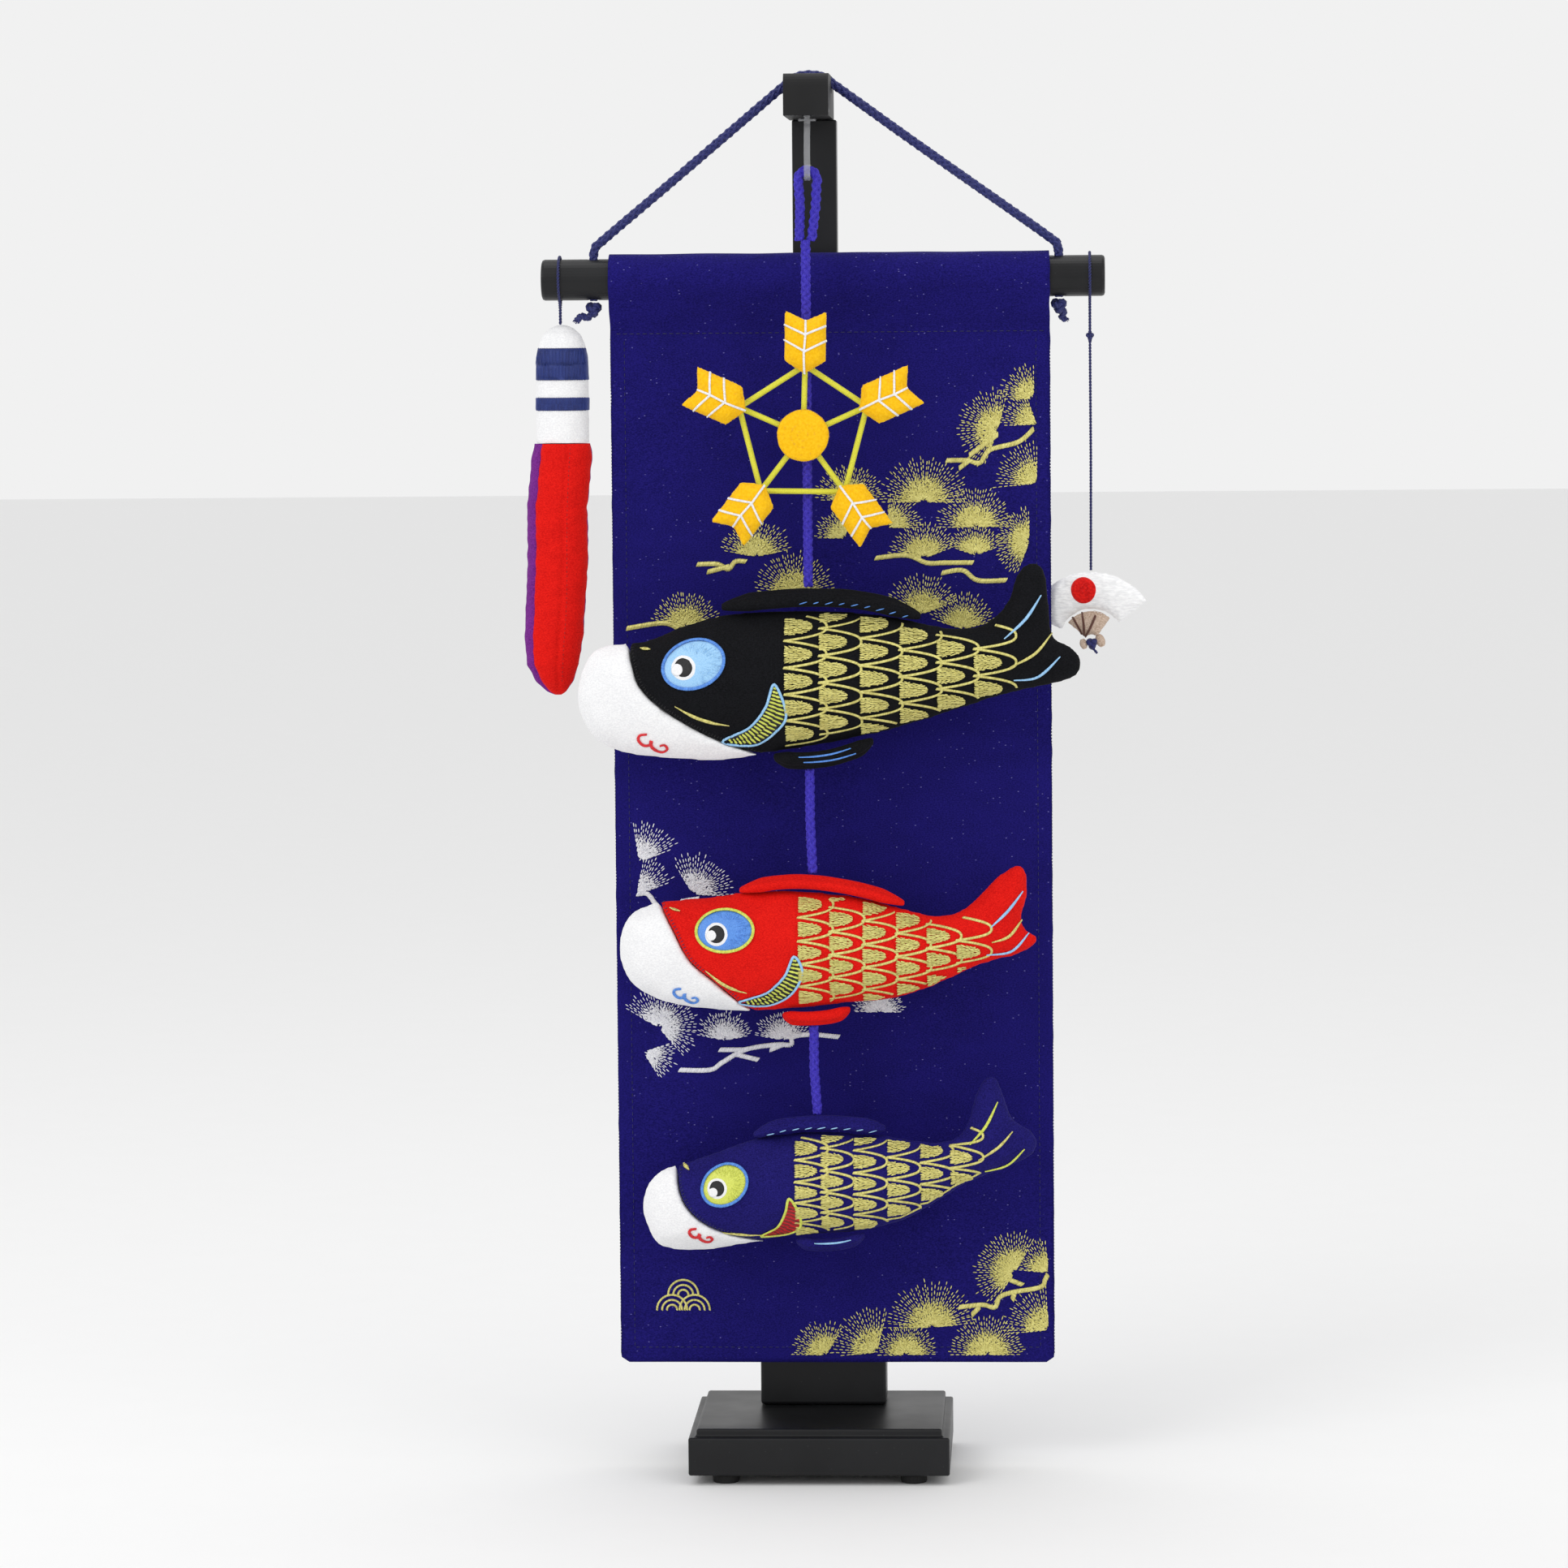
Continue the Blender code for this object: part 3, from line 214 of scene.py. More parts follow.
looks = {
    "lacquer": lacquerLook("blackLacquer", (0.005, 0.0052, 0.006), 0.38, 900, 0.12),
    "plastic": lacquerLook("blackPlastic", (0.007, 0.007, 0.0075), 0.5, 1600, 0.03),
    "rubber": lacquerLook("footRubber", (0.015, 0.015, 0.015), 0.75, 2200, 0.0),
    "steel": steelLook(),
    "clear": clearLook(),
    "navyCord": threadLook("navyCord", (0.003, 0.004, 0.04), (0.016, 0.024, 0.21), 0, 0.6, 2200, 0.12),
    "violetCord": threadLook("violetCord", (0.012, 0.006, 0.17), (0.05, 0.028, 0.62), 0, 0.7, 2200, 0.0),
    "banner": crepeLook("violetCrepe", (0.0045, 0.0028, 0.085), (0.0115, 0.0072, 0.165), 1500, 0.6, 0.02,
                        {"scale": 420, "size": 0.17, "few": 0.8, "colour": (0.14, 0.13, 0.4)}),
    "white": crepeLook("whiteCrepe", (0.8, 0.8, 0.815), (0.93, 0.93, 0.935), 1300, 0.6, 0.05),
    "red": crepeLook("redCrepe", (0.58, 0.004, 0.003), (0.8, 0.01, 0.005), 1500, 0.45, 0.03),
    "purple": crepeLook("purpleCrepe", (0.12, 0.012, 0.17), (0.21, 0.026, 0.28), 1500, 0.45, 0.03),
    "black": crepeLook("blackCrepe", (0.002, 0.0022, 0.003), (0.006, 0.0063, 0.0085), 1700, 0.5, 0.03),
    "blue": crepeLook("blueCrepe", (0.006, 0.004, 0.08), (0.0145, 0.0105, 0.165), 1600, 0.5, 0.03),
    "tan": crepeLook("tanCrepe", (0.42, 0.3, 0.22), (0.66, 0.52, 0.42), 1300, 0.5),
    "fanCrepe": crepeLook("fanCrepe", (0.8, 0.8, 0.81), (0.97, 0.97, 0.97), 900, 0.7, 0.05,
                          draw=(0.45, 1, 1.9)),
    "redFelt": crepeLook("redFelt", (0.5, 0.004, 0.004), (0.8, 0.012, 0.008), 1100, 0.6, 0.3, draw=(1, 1, 1)),
    "feltFibre": threadLook("feltFibre", (0.8, 0.42, 0.02), (1.0, 0.66, 0.1), 0, 0.8),
    "felt": crepeLook("yellowFelt", (0.88, 0.47, 0.004), (0.98, 0.57, 0.012), 1000, 0.7, 0.12,
                      draw=(1, 1, 1)),
    "wire": threadLook("yellowWinding", (0.52, 0.5, 0.02), (0.86, 0.84, 0.06), 0, 0.5),
    "gold": threadLook("goldThread", (0.42, 0.365, 0.075), (0.9, 0.84, 0.3), 0.35, 0.32),
    "silver": threadLook("silverThread", (0.55, 0.55, 0.62), (0.97, 0.97, 0.98), 0.1, 0.4),
    "whiteThread": threadLook("whiteThread", (0.7, 0.7, 0.72), (0.97, 0.97, 0.97)),
    "navyThread": threadLook("navyThread", (0.004, 0.004, 0.04), (0.012, 0.012, 0.11)),
    "redThread": threadLook("redThread", (0.5, 0.004, 0.01), (0.85, 0.02, 0.03)),
    "blueThread": threadLook("blueThread", (0.04, 0.16, 0.55), (0.13, 0.36, 0.9)),
    "skyThread": threadLook("skyThread", (0.2, 0.45, 0.78), (0.42, 0.7, 0.95)),
    "limeThread": threadLook("limeThread", (0.45, 0.5, 0.04), (0.8, 0.86, 0.15)),
    "blackThread": threadLook("blackThread", (0.002, 0.002, 0.003), (0.009, 0.009, 0.01), 0, 0.6, 2600, 0.02),
    "brownThread": threadLook("brownThread", (0.07, 0.022, 0.014), (0.16, 0.06, 0.04)),
    "satinBlue": threadLook("satinBlue", (0.006, 0.014, 0.12), (0.02, 0.045, 0.25), 0, 0.45, 2600, 0.0),
    "darkRed": threadLook("darkRedThread", (0.08, 0.002, 0.003), (0.3, 0.01, 0.01)),
}
print("materials ready:", len(looks))


# Shapes: points and faces gathered in plain lists

def newShape():
    return {"points": [], "faces": [], "looks": []}


def addFaces(shape, points, faces, look=0):
    start = len(shape["points"])
    shape["points"] += [tuple(p) for p in points]
    shape["faces"] += [tuple(start + i for i in face) for face in faces]
    shape["looks"] += [look] * len(faces)


def makeObject(name, shape, lookNames, smooth=True, shade=None):
    mesh = bpy.data.meshes.new(name)
    mesh.from_pydata(shape["points"], [], shape["faces"])
    bm = bmesh.new()
    bm.from_mesh(mesh)
    for face, number in zip(bm.faces, shape["looks"]):
        face.material_index = number
    bmesh.ops.recalc_face_normals(bm, faces=bm.faces)
    bm.to_mesh(mesh)
    bm.free()
    for look in lookNames:
        mesh.materials.append(looks[look])
    if smooth:
        mesh.shade_smooth()
        mesh.set_sharp_from_angle(angle=math.radians(50))
    if shade is not None:
        mesh.attributes.new("shade", "FLOAT", "POINT").data.foreach_set("value",
                                                                        np.full(len(mesh.vertices), shade))
    obj = bpy.data.objects.new(name, mesh)
    scene.collection.objects.link(obj)
    return obj


def settle(obj, body, slotName, *nodes):
    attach(obj, body)
    if nodes:
        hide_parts(*nodes)
    return obj


def spline(points, steps, closed=False):  # Catmull-Rom
    points, found = [Vector(p) for p in points], []
    count = len(points)
    for i in range(count if closed else count - 1):
        if closed:
            a, b, c, d = (points[(i + k) % count] for k in (-1, 0, 1, 2))
        else:
            a, b, c, d = points[max(i - 1, 0)], points[i], points[i + 1], points[min(i + 2, count - 1)]
        for step in range(steps):
            t = step / steps
            found.append(0.5 * (2 * b + (c - a) * t + (2 * a - 5 * b + 4 * c - d) * t * t
                                + (3 * b - a - 3 * c + d) * t ** 3))
    return found if closed else [*found, points[-1]]


def lengthOf(points):
    return sum((b - a).length for a, b in zip(points, points[1:]))


def respaced(points, spacing):
    points = [Vector(p) for p in points]
    total = lengthOf(points)
    count = max(2, round(total / spacing))
    found, walked, index = [points[0]], 0.0, 0
    for k in range(1, count):
        target = total * k / count
        while index < len(points) - 2 and walked + (points[index + 1] - points[index]).length < target:
            walked += (points[index + 1] - points[index]).length
            index += 1
        piece = (points[index + 1] - points[index])
        found.append(points[index] + piece * ((target - walked) / max(piece.length, 1e-12)))
    return [*found, points[-1]]


def framesOn(route):
    last = len(route) - 1
    ways = [(route[min(i + 1, last)] - route[max(i - 1, 0)]).normalized() for i in range(last + 1)]
    side = ways[0].orthogonal().normalized()
    found = []
    for way in ways:
        side = (side - way * side.dot(way)).normalized()
        found.append((way, side, way.cross(side)))
    return found


def addTube(shape, route, radius, sides=8):
    # radius is a number or one per point
    route = [Vector(p) for p in route]
    sizes = radius if hasattr(radius, "__len__") else [radius] * len(route)
    points, faces = [], []
    for point, (_, side, other), size in zip(route, framesOn(route), sizes):
        for k in range(sides):
            a = 2 * math.pi * k / sides
            points.append(point + size * (math.cos(a) * side + math.sin(a) * other))
    for row in range(len(route) - 1):
        for k in range(sides):
            i, j = row * sides + k, row * sides + (k + 1) % sides
            faces.append((i, j, j + sides, i + sides))
    points += [route[0], route[-1]]
    first, last = len(points) - 2, len(points) - 1
    high = (len(route) - 1) * sides
    for k in range(sides):
        faces.append((first, (k + 1) % sides, k))
        faces.append((last, high + k, high + (k + 1) % sides))
    addFaces(shape, points, faces)


def addPlait(shape, route, radius, each, plait, thick=0.34, sides=6):
    # a round braid: as many strands one way as the other, which pass over and under
    route = respaced(route, 0.55 * mm)
    frames = framesOn(route)
    along = [0.0]
    for a, b in zip(route, route[1:]):
        along.append(along[-1] + (b - a).length)
    middle, rise = (0.98 - thick - 0.1) * radius, 0.11 * radius
    for way in (1, -1):
        for strand in range(each):
            line = []
            for point, (_, side, other), s in zip(route, frames, along):
                a = way * 2 * math.pi * s / plait + 2 * math.pi * strand / each
                r = middle + way * rise * math.cos(2 * math.pi * each * s / plait)
                line.append(point + r * (math.cos(a) * side + math.sin(a) * other))
            addTube(shape, line, thick * radius, sides)
    addTube(shape, respaced(route, 2 * mm), 0.6 * radius)


def addTwist(shape, route, radius, strands, lay, sides=8, spacing=0.7 * mm):
    # a laid cord: strands that wind round each other
    route = respaced(route, spacing)
    frames, s = framesOn(route), 0.0
    places = []
    for i, point in enumerate(route):
        s += (point - route[i - 1]).length if i else 0.0
        places.append(s)
    middle, thick = 0.5 * radius, 0.52 * radius
    for strand in range(strands):
        line = []
        for point, (_, side, other), s in zip(route, frames, places):
            a = 2 * math.pi * (s / lay + strand / strands)
            line.append(point + middle * (math.cos(a) * side + math.sin(a) * other))
        addTube(shape, line, thick, sides)


# Cords

cords = {
    "bannerRadius": 2.0 * mm, "stringRadius": 2.1 * mm, "threadRadius": 0.6 * mm,
    "bannerPlait": 13 * mm, "stringPlait": 10.5 * mm,
    "holes": (-93.7 * mm, 88.2 * mm), "knotZ": 458.2 * mm, "knotRadius": 3.1 * mm,
    "barZ": 469.6 * mm, "barRadius": 8 * mm,
    "stringY": -28 * mm, "bightTop": 510.8 * mm, "bightX": -8.4 * mm, "join": 484 * mm,
}


def bannerCordRoute():
    left, right = cords["holes"]
    low = cords["knotZ"] + cords["knotRadius"] + 0.3 * mm
    run = [(left, low), (left, 468 * mm), (left, 476.5 * mm), (-93 * mm, 481.5 * mm),
           (-89.6 * mm, 485.1 * mm),
           (-65.9 * mm, 504.7 * mm), (-41.4 * mm, 525.1 * mm), (-17 * mm, 545.4 * mm),
           (-13.1 * mm, 547.7 * mm),
           (-9.1 * mm, 548.4 * mm), (-4.9 * mm, 547.9 * mm), (-1.1 * mm, 546 * mm), (27.1 * mm, 525.6 * mm),
           (55.6 * mm, 505.3 * mm), (83.9 * mm, 485.1 * mm), (87.5 * mm, 481.6 * mm), (right, 476.5 * mm),
           (right, 468 * mm), (right, low)]
    return spline([(x, 0, z) for x, z in run], 8)


def makeKnot(name, x, tail, node):  # an overhand knot with a frayed tail
    shape = newShape()
    centre = Vector((x, 0, cords["knotZ"]))
    turns = [2 * math.pi * k / 40 for k in range(41)]
    ring = [centre + 0.8 * mm * Vector((math.sin(a) + 1.5 * math.sin(2 * a), 1.2 * math.sin(3 * a),
                                        math.cos(a) - 1.5 * math.cos(2 * a))) for a in turns]
    addTwist(shape, ring, 1.55 * mm, 3, 6 * mm, 7)
    lumps = spline([centre + Vector(p) * mm for p in tail], 8)
    addTwist(shape, lumps, 1.45 * mm, 3, 5 * mm, 7)
    end = lumps[-1]
    way = (lumps[-1] - lumps[-6]).normalized()
    rng = random.Random(5)
    for _ in range(16):  # frayed ends
        out = (way + 0.55 * Vector((rng.uniform(-1, 1), rng.uniform(-1, 1), rng.uniform(-1, 1)))).normalized()
        start = end - way * 0.8 * mm + 0.6 * mm * Vector((rng.uniform(-1, 1), rng.uniform(-1, 1), 0))
        addTube(shape, [start, start + out * 0.9 * mm, start + out * 1.9 * mm + Vector((0, 0, -0.2 * mm))],
                [0.28 * mm, 0.24 * mm, 0.12 * mm], 5)
    return settle(makeObject(name, shape, ["navyCord"], shade=0.4), "banner", "navy_cord", node)


def makeBannerCord():
    route = bannerCordRoute()
    shape = newShape()
    addPlait(shape, route, cords["bannerRadius"], 4, cords["bannerPlait"])
    cord = makeObject("bannerCord", shape, ["navyCord"], shade=0.45)
    settle(cord, "banner", "navy_cord", "banner_cord")
    left, right = cords["holes"]
    tails = {"Left": (left, [(-0.5, 0, -1), (-2.4, -1.2, -3.6), (-4.6, -1.4, -2.6), (-6.6, -1, -4.4)],
                      "banner_knot_left"),
             "Right": (right, [(0.5, 0, -1), (1.9, 1.1, -2.6), (0.9, 2.6, -4.4), (2.4, 3.0, -5.4)],
                       "banner_knot_right")}
    knots = [makeKnot("bannerKnot" + side, *facts) for side, facts in tails.items()]


def hungThread(name, x, endZ, body, nodes):
    # a loop of thread over the bar whose two ends hang side by side
    r, gapY = cords["threadRadius"], cords["threadRadius"] + 0.25 * mm
    ring = cords["barRadius"] + 0.4 * mm + r
    turns = [math.radians(-60 + 30 * k) for k in range(11)]
    route = [(x, gapY, endZ), (x, gapY, cords["barZ"] - 1.35 * ring)]
    route += [(x, ring * math.cos(a), cords["barZ"] + ring * math.sin(a)) for a in turns]
    route += [(x, -gapY, cords["barZ"] - 1.35 * ring), (x, -gapY, endZ)]
    route = respaced(spline(route, 8), 0.5 * mm)
    shape = newShape()
    addTwist(shape, route, r, 2, 2.4 * mm, 6, spacing=0.4 * mm)
    thread = settle(makeObject(name, shape, ["navyCord"], shade=0.1), body, "navy_cord", *nodes)


def makeFanThread():
    knotLow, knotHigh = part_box("fan_knot")
    low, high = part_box("fan_thread")
    x = (low.x + high.x) / 2
    route = respaced([(x, 0, high.z), (x + 0.15 * mm, 0, (low.z + high.z) / 2), (x, 0, low.z)], 0.5 * mm)
    shape = newShape()
    addTwist(shape, route, cords["threadRadius"], 2, 2.4 * mm, 6, spacing=0.4 * mm)
    thread = settle(makeObject("fanThread", shape, ["navyCord"], shade=0.1), "fan_string", "navy_cord",
                    "fan_thread")
    centre, knot = (knotLow + knotHigh) / 2, newShape()
    turns = [2 * math.pi * k / 30 for k in range(31)]
    ring = [centre + 0.5 * mm * Vector((math.sin(a) + 1.4 * math.sin(2 * a), 1.2 * math.sin(3 * a),
                                        math.cos(a) - 1.4 * math.cos(2 * a))) for a in turns]
    addTube(knot, ring, 0.62 * mm, 7)
    addTube(knot, [centre - Vector((0, 0, 2 * mm)), centre, centre + Vector((0, 0, 2 * mm))], 0.7 * mm, 7)
    fanKnot = settle(makeObject("fanKnot", knot, ["navyCord"], shade=0.1), "fan_string", "navy_cord",
                     "fan_knot")


def makeCarpString():
    x, y, z = cords["bightX"], cords["stringY"], cords["bightTop"]
    wide, close = 3.6 * mm, 2.35 * mm
    topX = -9.4 * mm
    bight = [(x - wide * math.cos(a), y, z - wide + wide * math.sin(a)) for a in
             (math.radians(30 * k) for k in range(7))]
    leg = [(3.0 * mm, 14 * mm), (3.2 * mm, 10 * mm), (3.4 * mm, 7 * mm), (3.5 * mm, 5.2 * mm)]  # out, down
    loop = [(topX - close, y, cords["join"]), *((x - out, y, z - down) for out, down in leg), *bight,
            *((x + out, y, z - down) for out, down in reversed(leg)), (topX + close, y, cords["join"])]
    runs = {"carpCordLoop": (spline(loop, 8), "top_string", "cord_loop")}
    for name, node, body, startX in (("carpCordTop", "cord_top", "top_string", topX),
                                     ("carpCordMiddle", "cord_middle", "middle_string", topX),
                                     ("carpCordLower", "cord_lower", "lower_string", -8.6 * mm)):
        low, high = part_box(node)
        endX = (low.x + high.x) - startX  # a straight run between two heights
        runs[name] = ([Vector((startX, y, high.z)), Vector((startX, y, (low.z + high.z) / 2)),
                       Vector((endX, y, low.z))], body, node)
    for name, (route, body, node) in runs.items():
        shape = newShape()
        addPlait(shape, route, cords["stringRadius"], 3, cords["stringPlait"], 0.4, 7)
        cord = settle(makeObject(name, shape, ["violetCord"], shade=0.5), body, "violet_cord", node)
        [tuple(p) for p in respaced(route, mm)]


makeBannerCord()
hungThread("streamerThread", -106.9 * mm, 452.3 * mm, "streamer_string", ["streamer_thread"])
hungThread("fanLoop", 100.2 * mm, 447.9 * mm, "fan_string", ["fan_loop"])
makeFanThread()
makeCarpString()
print("cords made")


# Stitches: one Geometry Nodes tree lays a thread wherever the points say

def buildStitchTree():
    tree = bpy.data.node_groups.new("stitchField", "GeometryNodeTree")
    face = tree.interface
    face.new_socket("Geometry", in_out="INPUT", socket_type="NodeSocketGeometry")
    for label, kind, value in (("Thread Sides", "NodeSocketInt", 6), ("Thread Rings", "NodeSocketInt", 4),
                               ("Thread Scale", "NodeSocketFloat", 1.0),
                               ("Look", "NodeSocketMaterial", None)):
        socket = face.new_socket(label, in_out="INPUT", socket_type=kind)
        if value is not None:
            socket.default_value = value
    face.new_socket("Geometry", in_out="OUTPUT", socket_type="NodeSocketGeometry")
    given, result = newNode(tree, "NodeGroupInput").outputs, newNode(tree, "NodeGroupOutput")
    thread = newNode(tree, "GeometryNodeMeshUVSphere", {"Segments": given["Thread Sides"],
                                                        "Rings": given["Thread Rings"], "Radius": 0.5})
    turned = newNode(tree, "GeometryNodeTransform", {"Geometry": thread.outputs["Mesh"],
                                                     "Rotation": (0, math.pi / 2, 0)})
    smooth = newNode(tree, "GeometryNodeSetShadeSmooth", {"Geometry": turned.outputs[0]})
    turn = newNode(tree, "GeometryNodeInputNamedAttribute", {"Name": "stitchTurn"}, data_type="FLOAT_VECTOR")
    size = newNode(tree, "GeometryNodeInputNamedAttribute", {"Name": "stitchSize"}, data_type="FLOAT_VECTOR")
    asTurn = newNode(tree, "FunctionNodeEulerToRotation", {"Euler": turn.outputs[0]})
    scaled = newNode(tree, "ShaderNodeVectorMath", {0: size.outputs[0], "Scale": given["Thread Scale"]},
                     operation="SCALE")
    laid = newNode(tree, "GeometryNodeInstanceOnPoints", {
        "Points": given["Geometry"], "Instance": smooth.outputs[0], "Rotation": asTurn.outputs[0],
        "Scale": scaled.outputs[0]})
    real = newNode(tree, "GeometryNodeRealizeInstances", {"Geometry": laid.outputs[0]})
    dressed = newNode(tree, "GeometryNodeSetMaterial", {"Geometry": real.outputs[0],
                                                        "Material": given["Look"]})
    tree.links.new(dressed.outputs[0], result.inputs[0])
    return tree


stitchTree = buildStitchTree()


def bakedMesh(obj, name):  # the modifiers' result as a plain mesh, and the helper removed
    bpy.context.view_layer.update()
    mesh = bpy.data.meshes.new_from_object(obj.evaluated_get(bpy.context.evaluated_depsgraph_get()))
    old = obj.data
    bpy.data.objects.remove(obj)
    bpy.data.meshes.remove(old)
    mesh.name = name
    made = bpy.data.objects.new(name, mesh)
    scene.collection.objects.link(made)
    return made


def sewn(name, stitches, look, sides=6, rings=4):
    # stitches: middle, way, upwards, (length, width, height), shade
    mesh = bpy.data.meshes.new(name + "Points")
    mesh.from_pydata([tuple(s[0]) for s in stitches], [], [])
    turns, sizes, shades = [], [], []
    for _, way, up, size, shade in stitches:
        across = up.cross(way).normalized()
        turns += Matrix((way, across, way.cross(across))).transposed().to_euler()[:]
        sizes += size
        shades.append(shade)
    for label, kind, key, values in (("stitchTurn", "FLOAT_VECTOR", "vector", turns),
                                     ("stitchSize", "FLOAT_VECTOR", "vector", sizes),
                                     ("shade", "FLOAT", "value", shades)):
        mesh.attributes.new(label, kind, "POINT").data.foreach_set(key, np.array(values, np.float32))
    helper = bpy.data.objects.new(name + "Points", mesh)
    scene.collection.objects.link(helper)
    modifier = helper.modifiers.new("stitches", "NODES")
    modifier.node_group = stitchTree
    keys = {item.name: item.identifier for item in stitchTree.interface.items_tree if item.in_out == "INPUT"}
    modifier[keys["Thread Sides"]] = sides
    modifier[keys["Thread Rings"]] = rings
    modifier[keys["Look"]] = looks[look]
    made = bakedMesh(helper, name)
    if not made.data.materials:
        made.data.materials.append(looks[look])
    return made


def treeOf(*objects):  # what a stitch is laid on
    points, faces = [], []
    for obj in objects:
        start = len(points)
        points += [v.co.copy() for v in obj.data.vertices]
        faces += [tuple(start + i for i in p.vertices) for p in obj.data.polygons]
    return BVHTree.FromPolygons(points, faces)


def onFront(tree, x, z):
    # the point and normal of the front surface at this X and Z, or None beside it
    hit, normal, _, _ = tree.ray_cast(Vector((x, -0.2, z)), Vector((0, 1, 0)))
    if hit is None:
        return None
    return hit, (normal if normal.y < 0 else -normal)


def upright(line):  # (x, z) points as places on the plane of the bar
    return [Vector((p[0], 0, p[1])) for p in line]


def rope(rng, tree, line, width, lean=55, lift=0.2 * mm, pitch=0.42 * mm, taper=0.0):
    # slanted stitches side by side along a line of (x, z) points laid on a surface
    flat = respaced(upright(line), pitch)
    found, last = [], len(flat) - 1
    for i, p in enumerate(flat):
        place = onFront(tree, p.x, p.z)
        if place is None:
            continue
        hit, up = place
        way = flat[min(i + 1, last)] - flat[max(i - 1, 0)]
        way = (way - up * way.dot(up)).normalized()
        slant = Matrix.Rotation(math.radians(lean + rng.uniform(-6, 6)), 3, up) @ way
        end = min(i, last - i) / max(last, 1)
        wide = width * (1 - taper * max(0.0, 1 - end / 0.35))
        size = (wide / max(math.sin(math.radians(lean)), 0.3), 1.7 * pitch, 0.62 * mm)
        found.append((hit + up * lift, slant, up, size, rng.random()))
    return found


def runStitch(rng, tree, line, length, pitch, width, lift=0.12 * mm):
    # separate stitches end to end along a line
    flat = respaced(upright(line), pitch)
    found = []
    for a, b in zip(flat, flat[1:]):
        place = onFront(tree, *((a + b) / 2).xz)
        if place is None:
            continue
        hit, up = place
        way = b - a
        way = (way - up * way.dot(up)).normalized()
        found.append((hit + up * lift, way, up, (length, width, width), rng.random()))
    return found


# Banner cloth

banner = {
    "left": -87.4 * mm, "right": 84.6 * mm, "bottom": 41 * mm, "thickness": 1.1 * mm,
    "seamZ": 449 * mm, "sleeveRadius": 9.3 * mm, "flap": 9 * mm, "cell": 2 * mm,
    "wave": 0.45 * mm, "edgeWave": 0.35 * mm, "corner": 3.2 * mm,
}


def bannerSection():
    # (y, z) down the middle of the cloth: up the front, round the bar and back to the seam
    r, z = banner["sleeveRadius"], cords["barZ"]
    turn = math.acos(r / (z - banner["seamZ"])) * 0.98
    spare = math.pi / 2 - turn
    angles = [math.pi + spare - (math.pi + 2 * spare) * k / 30 for k in range(31)]
    ring = [(r * math.cos(a), z + r * math.sin(a)) for a in angles]
    panel = [(0, banner["bottom"] + (banner["seamZ"] - banner["bottom"]) * k / 60) for k in range(61)]
    return panel + ring + [(1.4 * mm, banner["seamZ"] + 0.5 * mm),
                           (1.5 * mm, banner["seamZ"] - banner["flap"])]


def makeBanner():
    section = respaced([(0, y, z) for y, z in bannerSection()], banner["cell"])
    columns = round((banner["right"] - banner["left"]) / banner["cell"])
    shape = newShape()
    points, faces = [], []
    seam = banner["seamZ"]
    for row, p in enumerate(section):
        onPanel = p.z <= seam and p.y < 0.5 * mm
        sag = min(1.0, max(0.0, (seam - p.z) / (60 * mm))) if onPanel else 0.0
        nearBottom = max(0.0, banner["corner"] - (p.z - banner["bottom"])) if onPanel else 0.0
        pull = banner["corner"] - math.sqrt(max(0.0, banner["corner"] ** 2 - nearBottom ** 2))
        for column in range(columns + 1):
            share = column / columns
            edge = 2 * share - 1
            x = banner["left"] + pull + share * (banner["right"] - banner["left"] - 2 * pull)
            x += edge ** 7 * banner["edgeWave"] * noise.noise(Vector((0, edge, p.z / (7 * mm))))
            wave = noise.noise(Vector((x / (46 * mm), 3.1, p.z / (130 * mm))))
            fold = noise.noise(Vector((x / (14 * mm), 9.7, p.z / (34 * mm))))
            y = p.y + sag * banner["wave"] * (wave + 0.3 * fold)
            z = p.z + (0 if onPanel else 0.25 * mm * noise.noise(Vector((x / (20 * mm), p.y / (6 * mm), 5))))
            points.append((x, y, z))
    wide = columns + 1
    for row in range(len(section) - 1):
        for column in range(columns):
            i = row * wide + column
            faces.append((i, i + 1, i + wide + 1, i + wide))
    addFaces(shape, points, faces)
    cloth = makeObject("bannerCloth", shape, ["banner"])
    solid = cloth.modifiers.new("thickness", "SOLIDIFY")
    solid.thickness, solid.offset, solid.use_even_offset = banner["thickness"], 0, True
    cloth = bakedMesh(cloth, "bannerCloth")
    cloth.data.shade_smooth()
    settle(cloth, "banner", "violet_crepe", "banner_cloth")
    return cloth, lengthOf(section)


def makeBannerSewing(cloth):
    rng, tree = random.Random(11), treeOf(cloth)
    left, right, low, seam = (banner[k] for k in ("left", "right", "bottom", "seamZ"))
    stitches = runStitch(rng, tree, [(left + 2 * mm, seam - 0.6 * mm), (right - 2 * mm, seam - 0.6 * mm)],
                         1.9 * mm, 2.6 * mm, 0.38 * mm)
    for x in (left + 5.5 * mm, right - 5.5 * mm):
        stitches += runStitch(rng, tree, [(x, seam - 3 * mm), (x, low + 6 * mm)], 1.7 * mm, 2.5 * mm,
                              0.32 * mm)
    stitches += runStitch(rng, tree, [(left + 5.5 * mm, low + 6 * mm), (right - 5.5 * mm, low + 6 * mm)],
                          1.7 * mm, 2.5 * mm, 0.32 * mm)
    overcast = []
    for x, way in ((left, 1), (right, -1)):  # the overcast side edges
        z = low + 4 * mm
        while z < seam - 2 * mm:
            middle = Vector((x + way * 0.1 * mm, 0, z))
            overcast.append((middle, Vector((0, 1, 0.25)).normalized(), Vector((-way, 0, 0)),
                             (1.7 * mm, 0.9 * mm, 0.55 * mm), rng.random()))
            z += 1.25 * mm
    return settle(sewn("bannerSewing", stitches + overcast, "navyThread"), "banner", "violet_crepe")


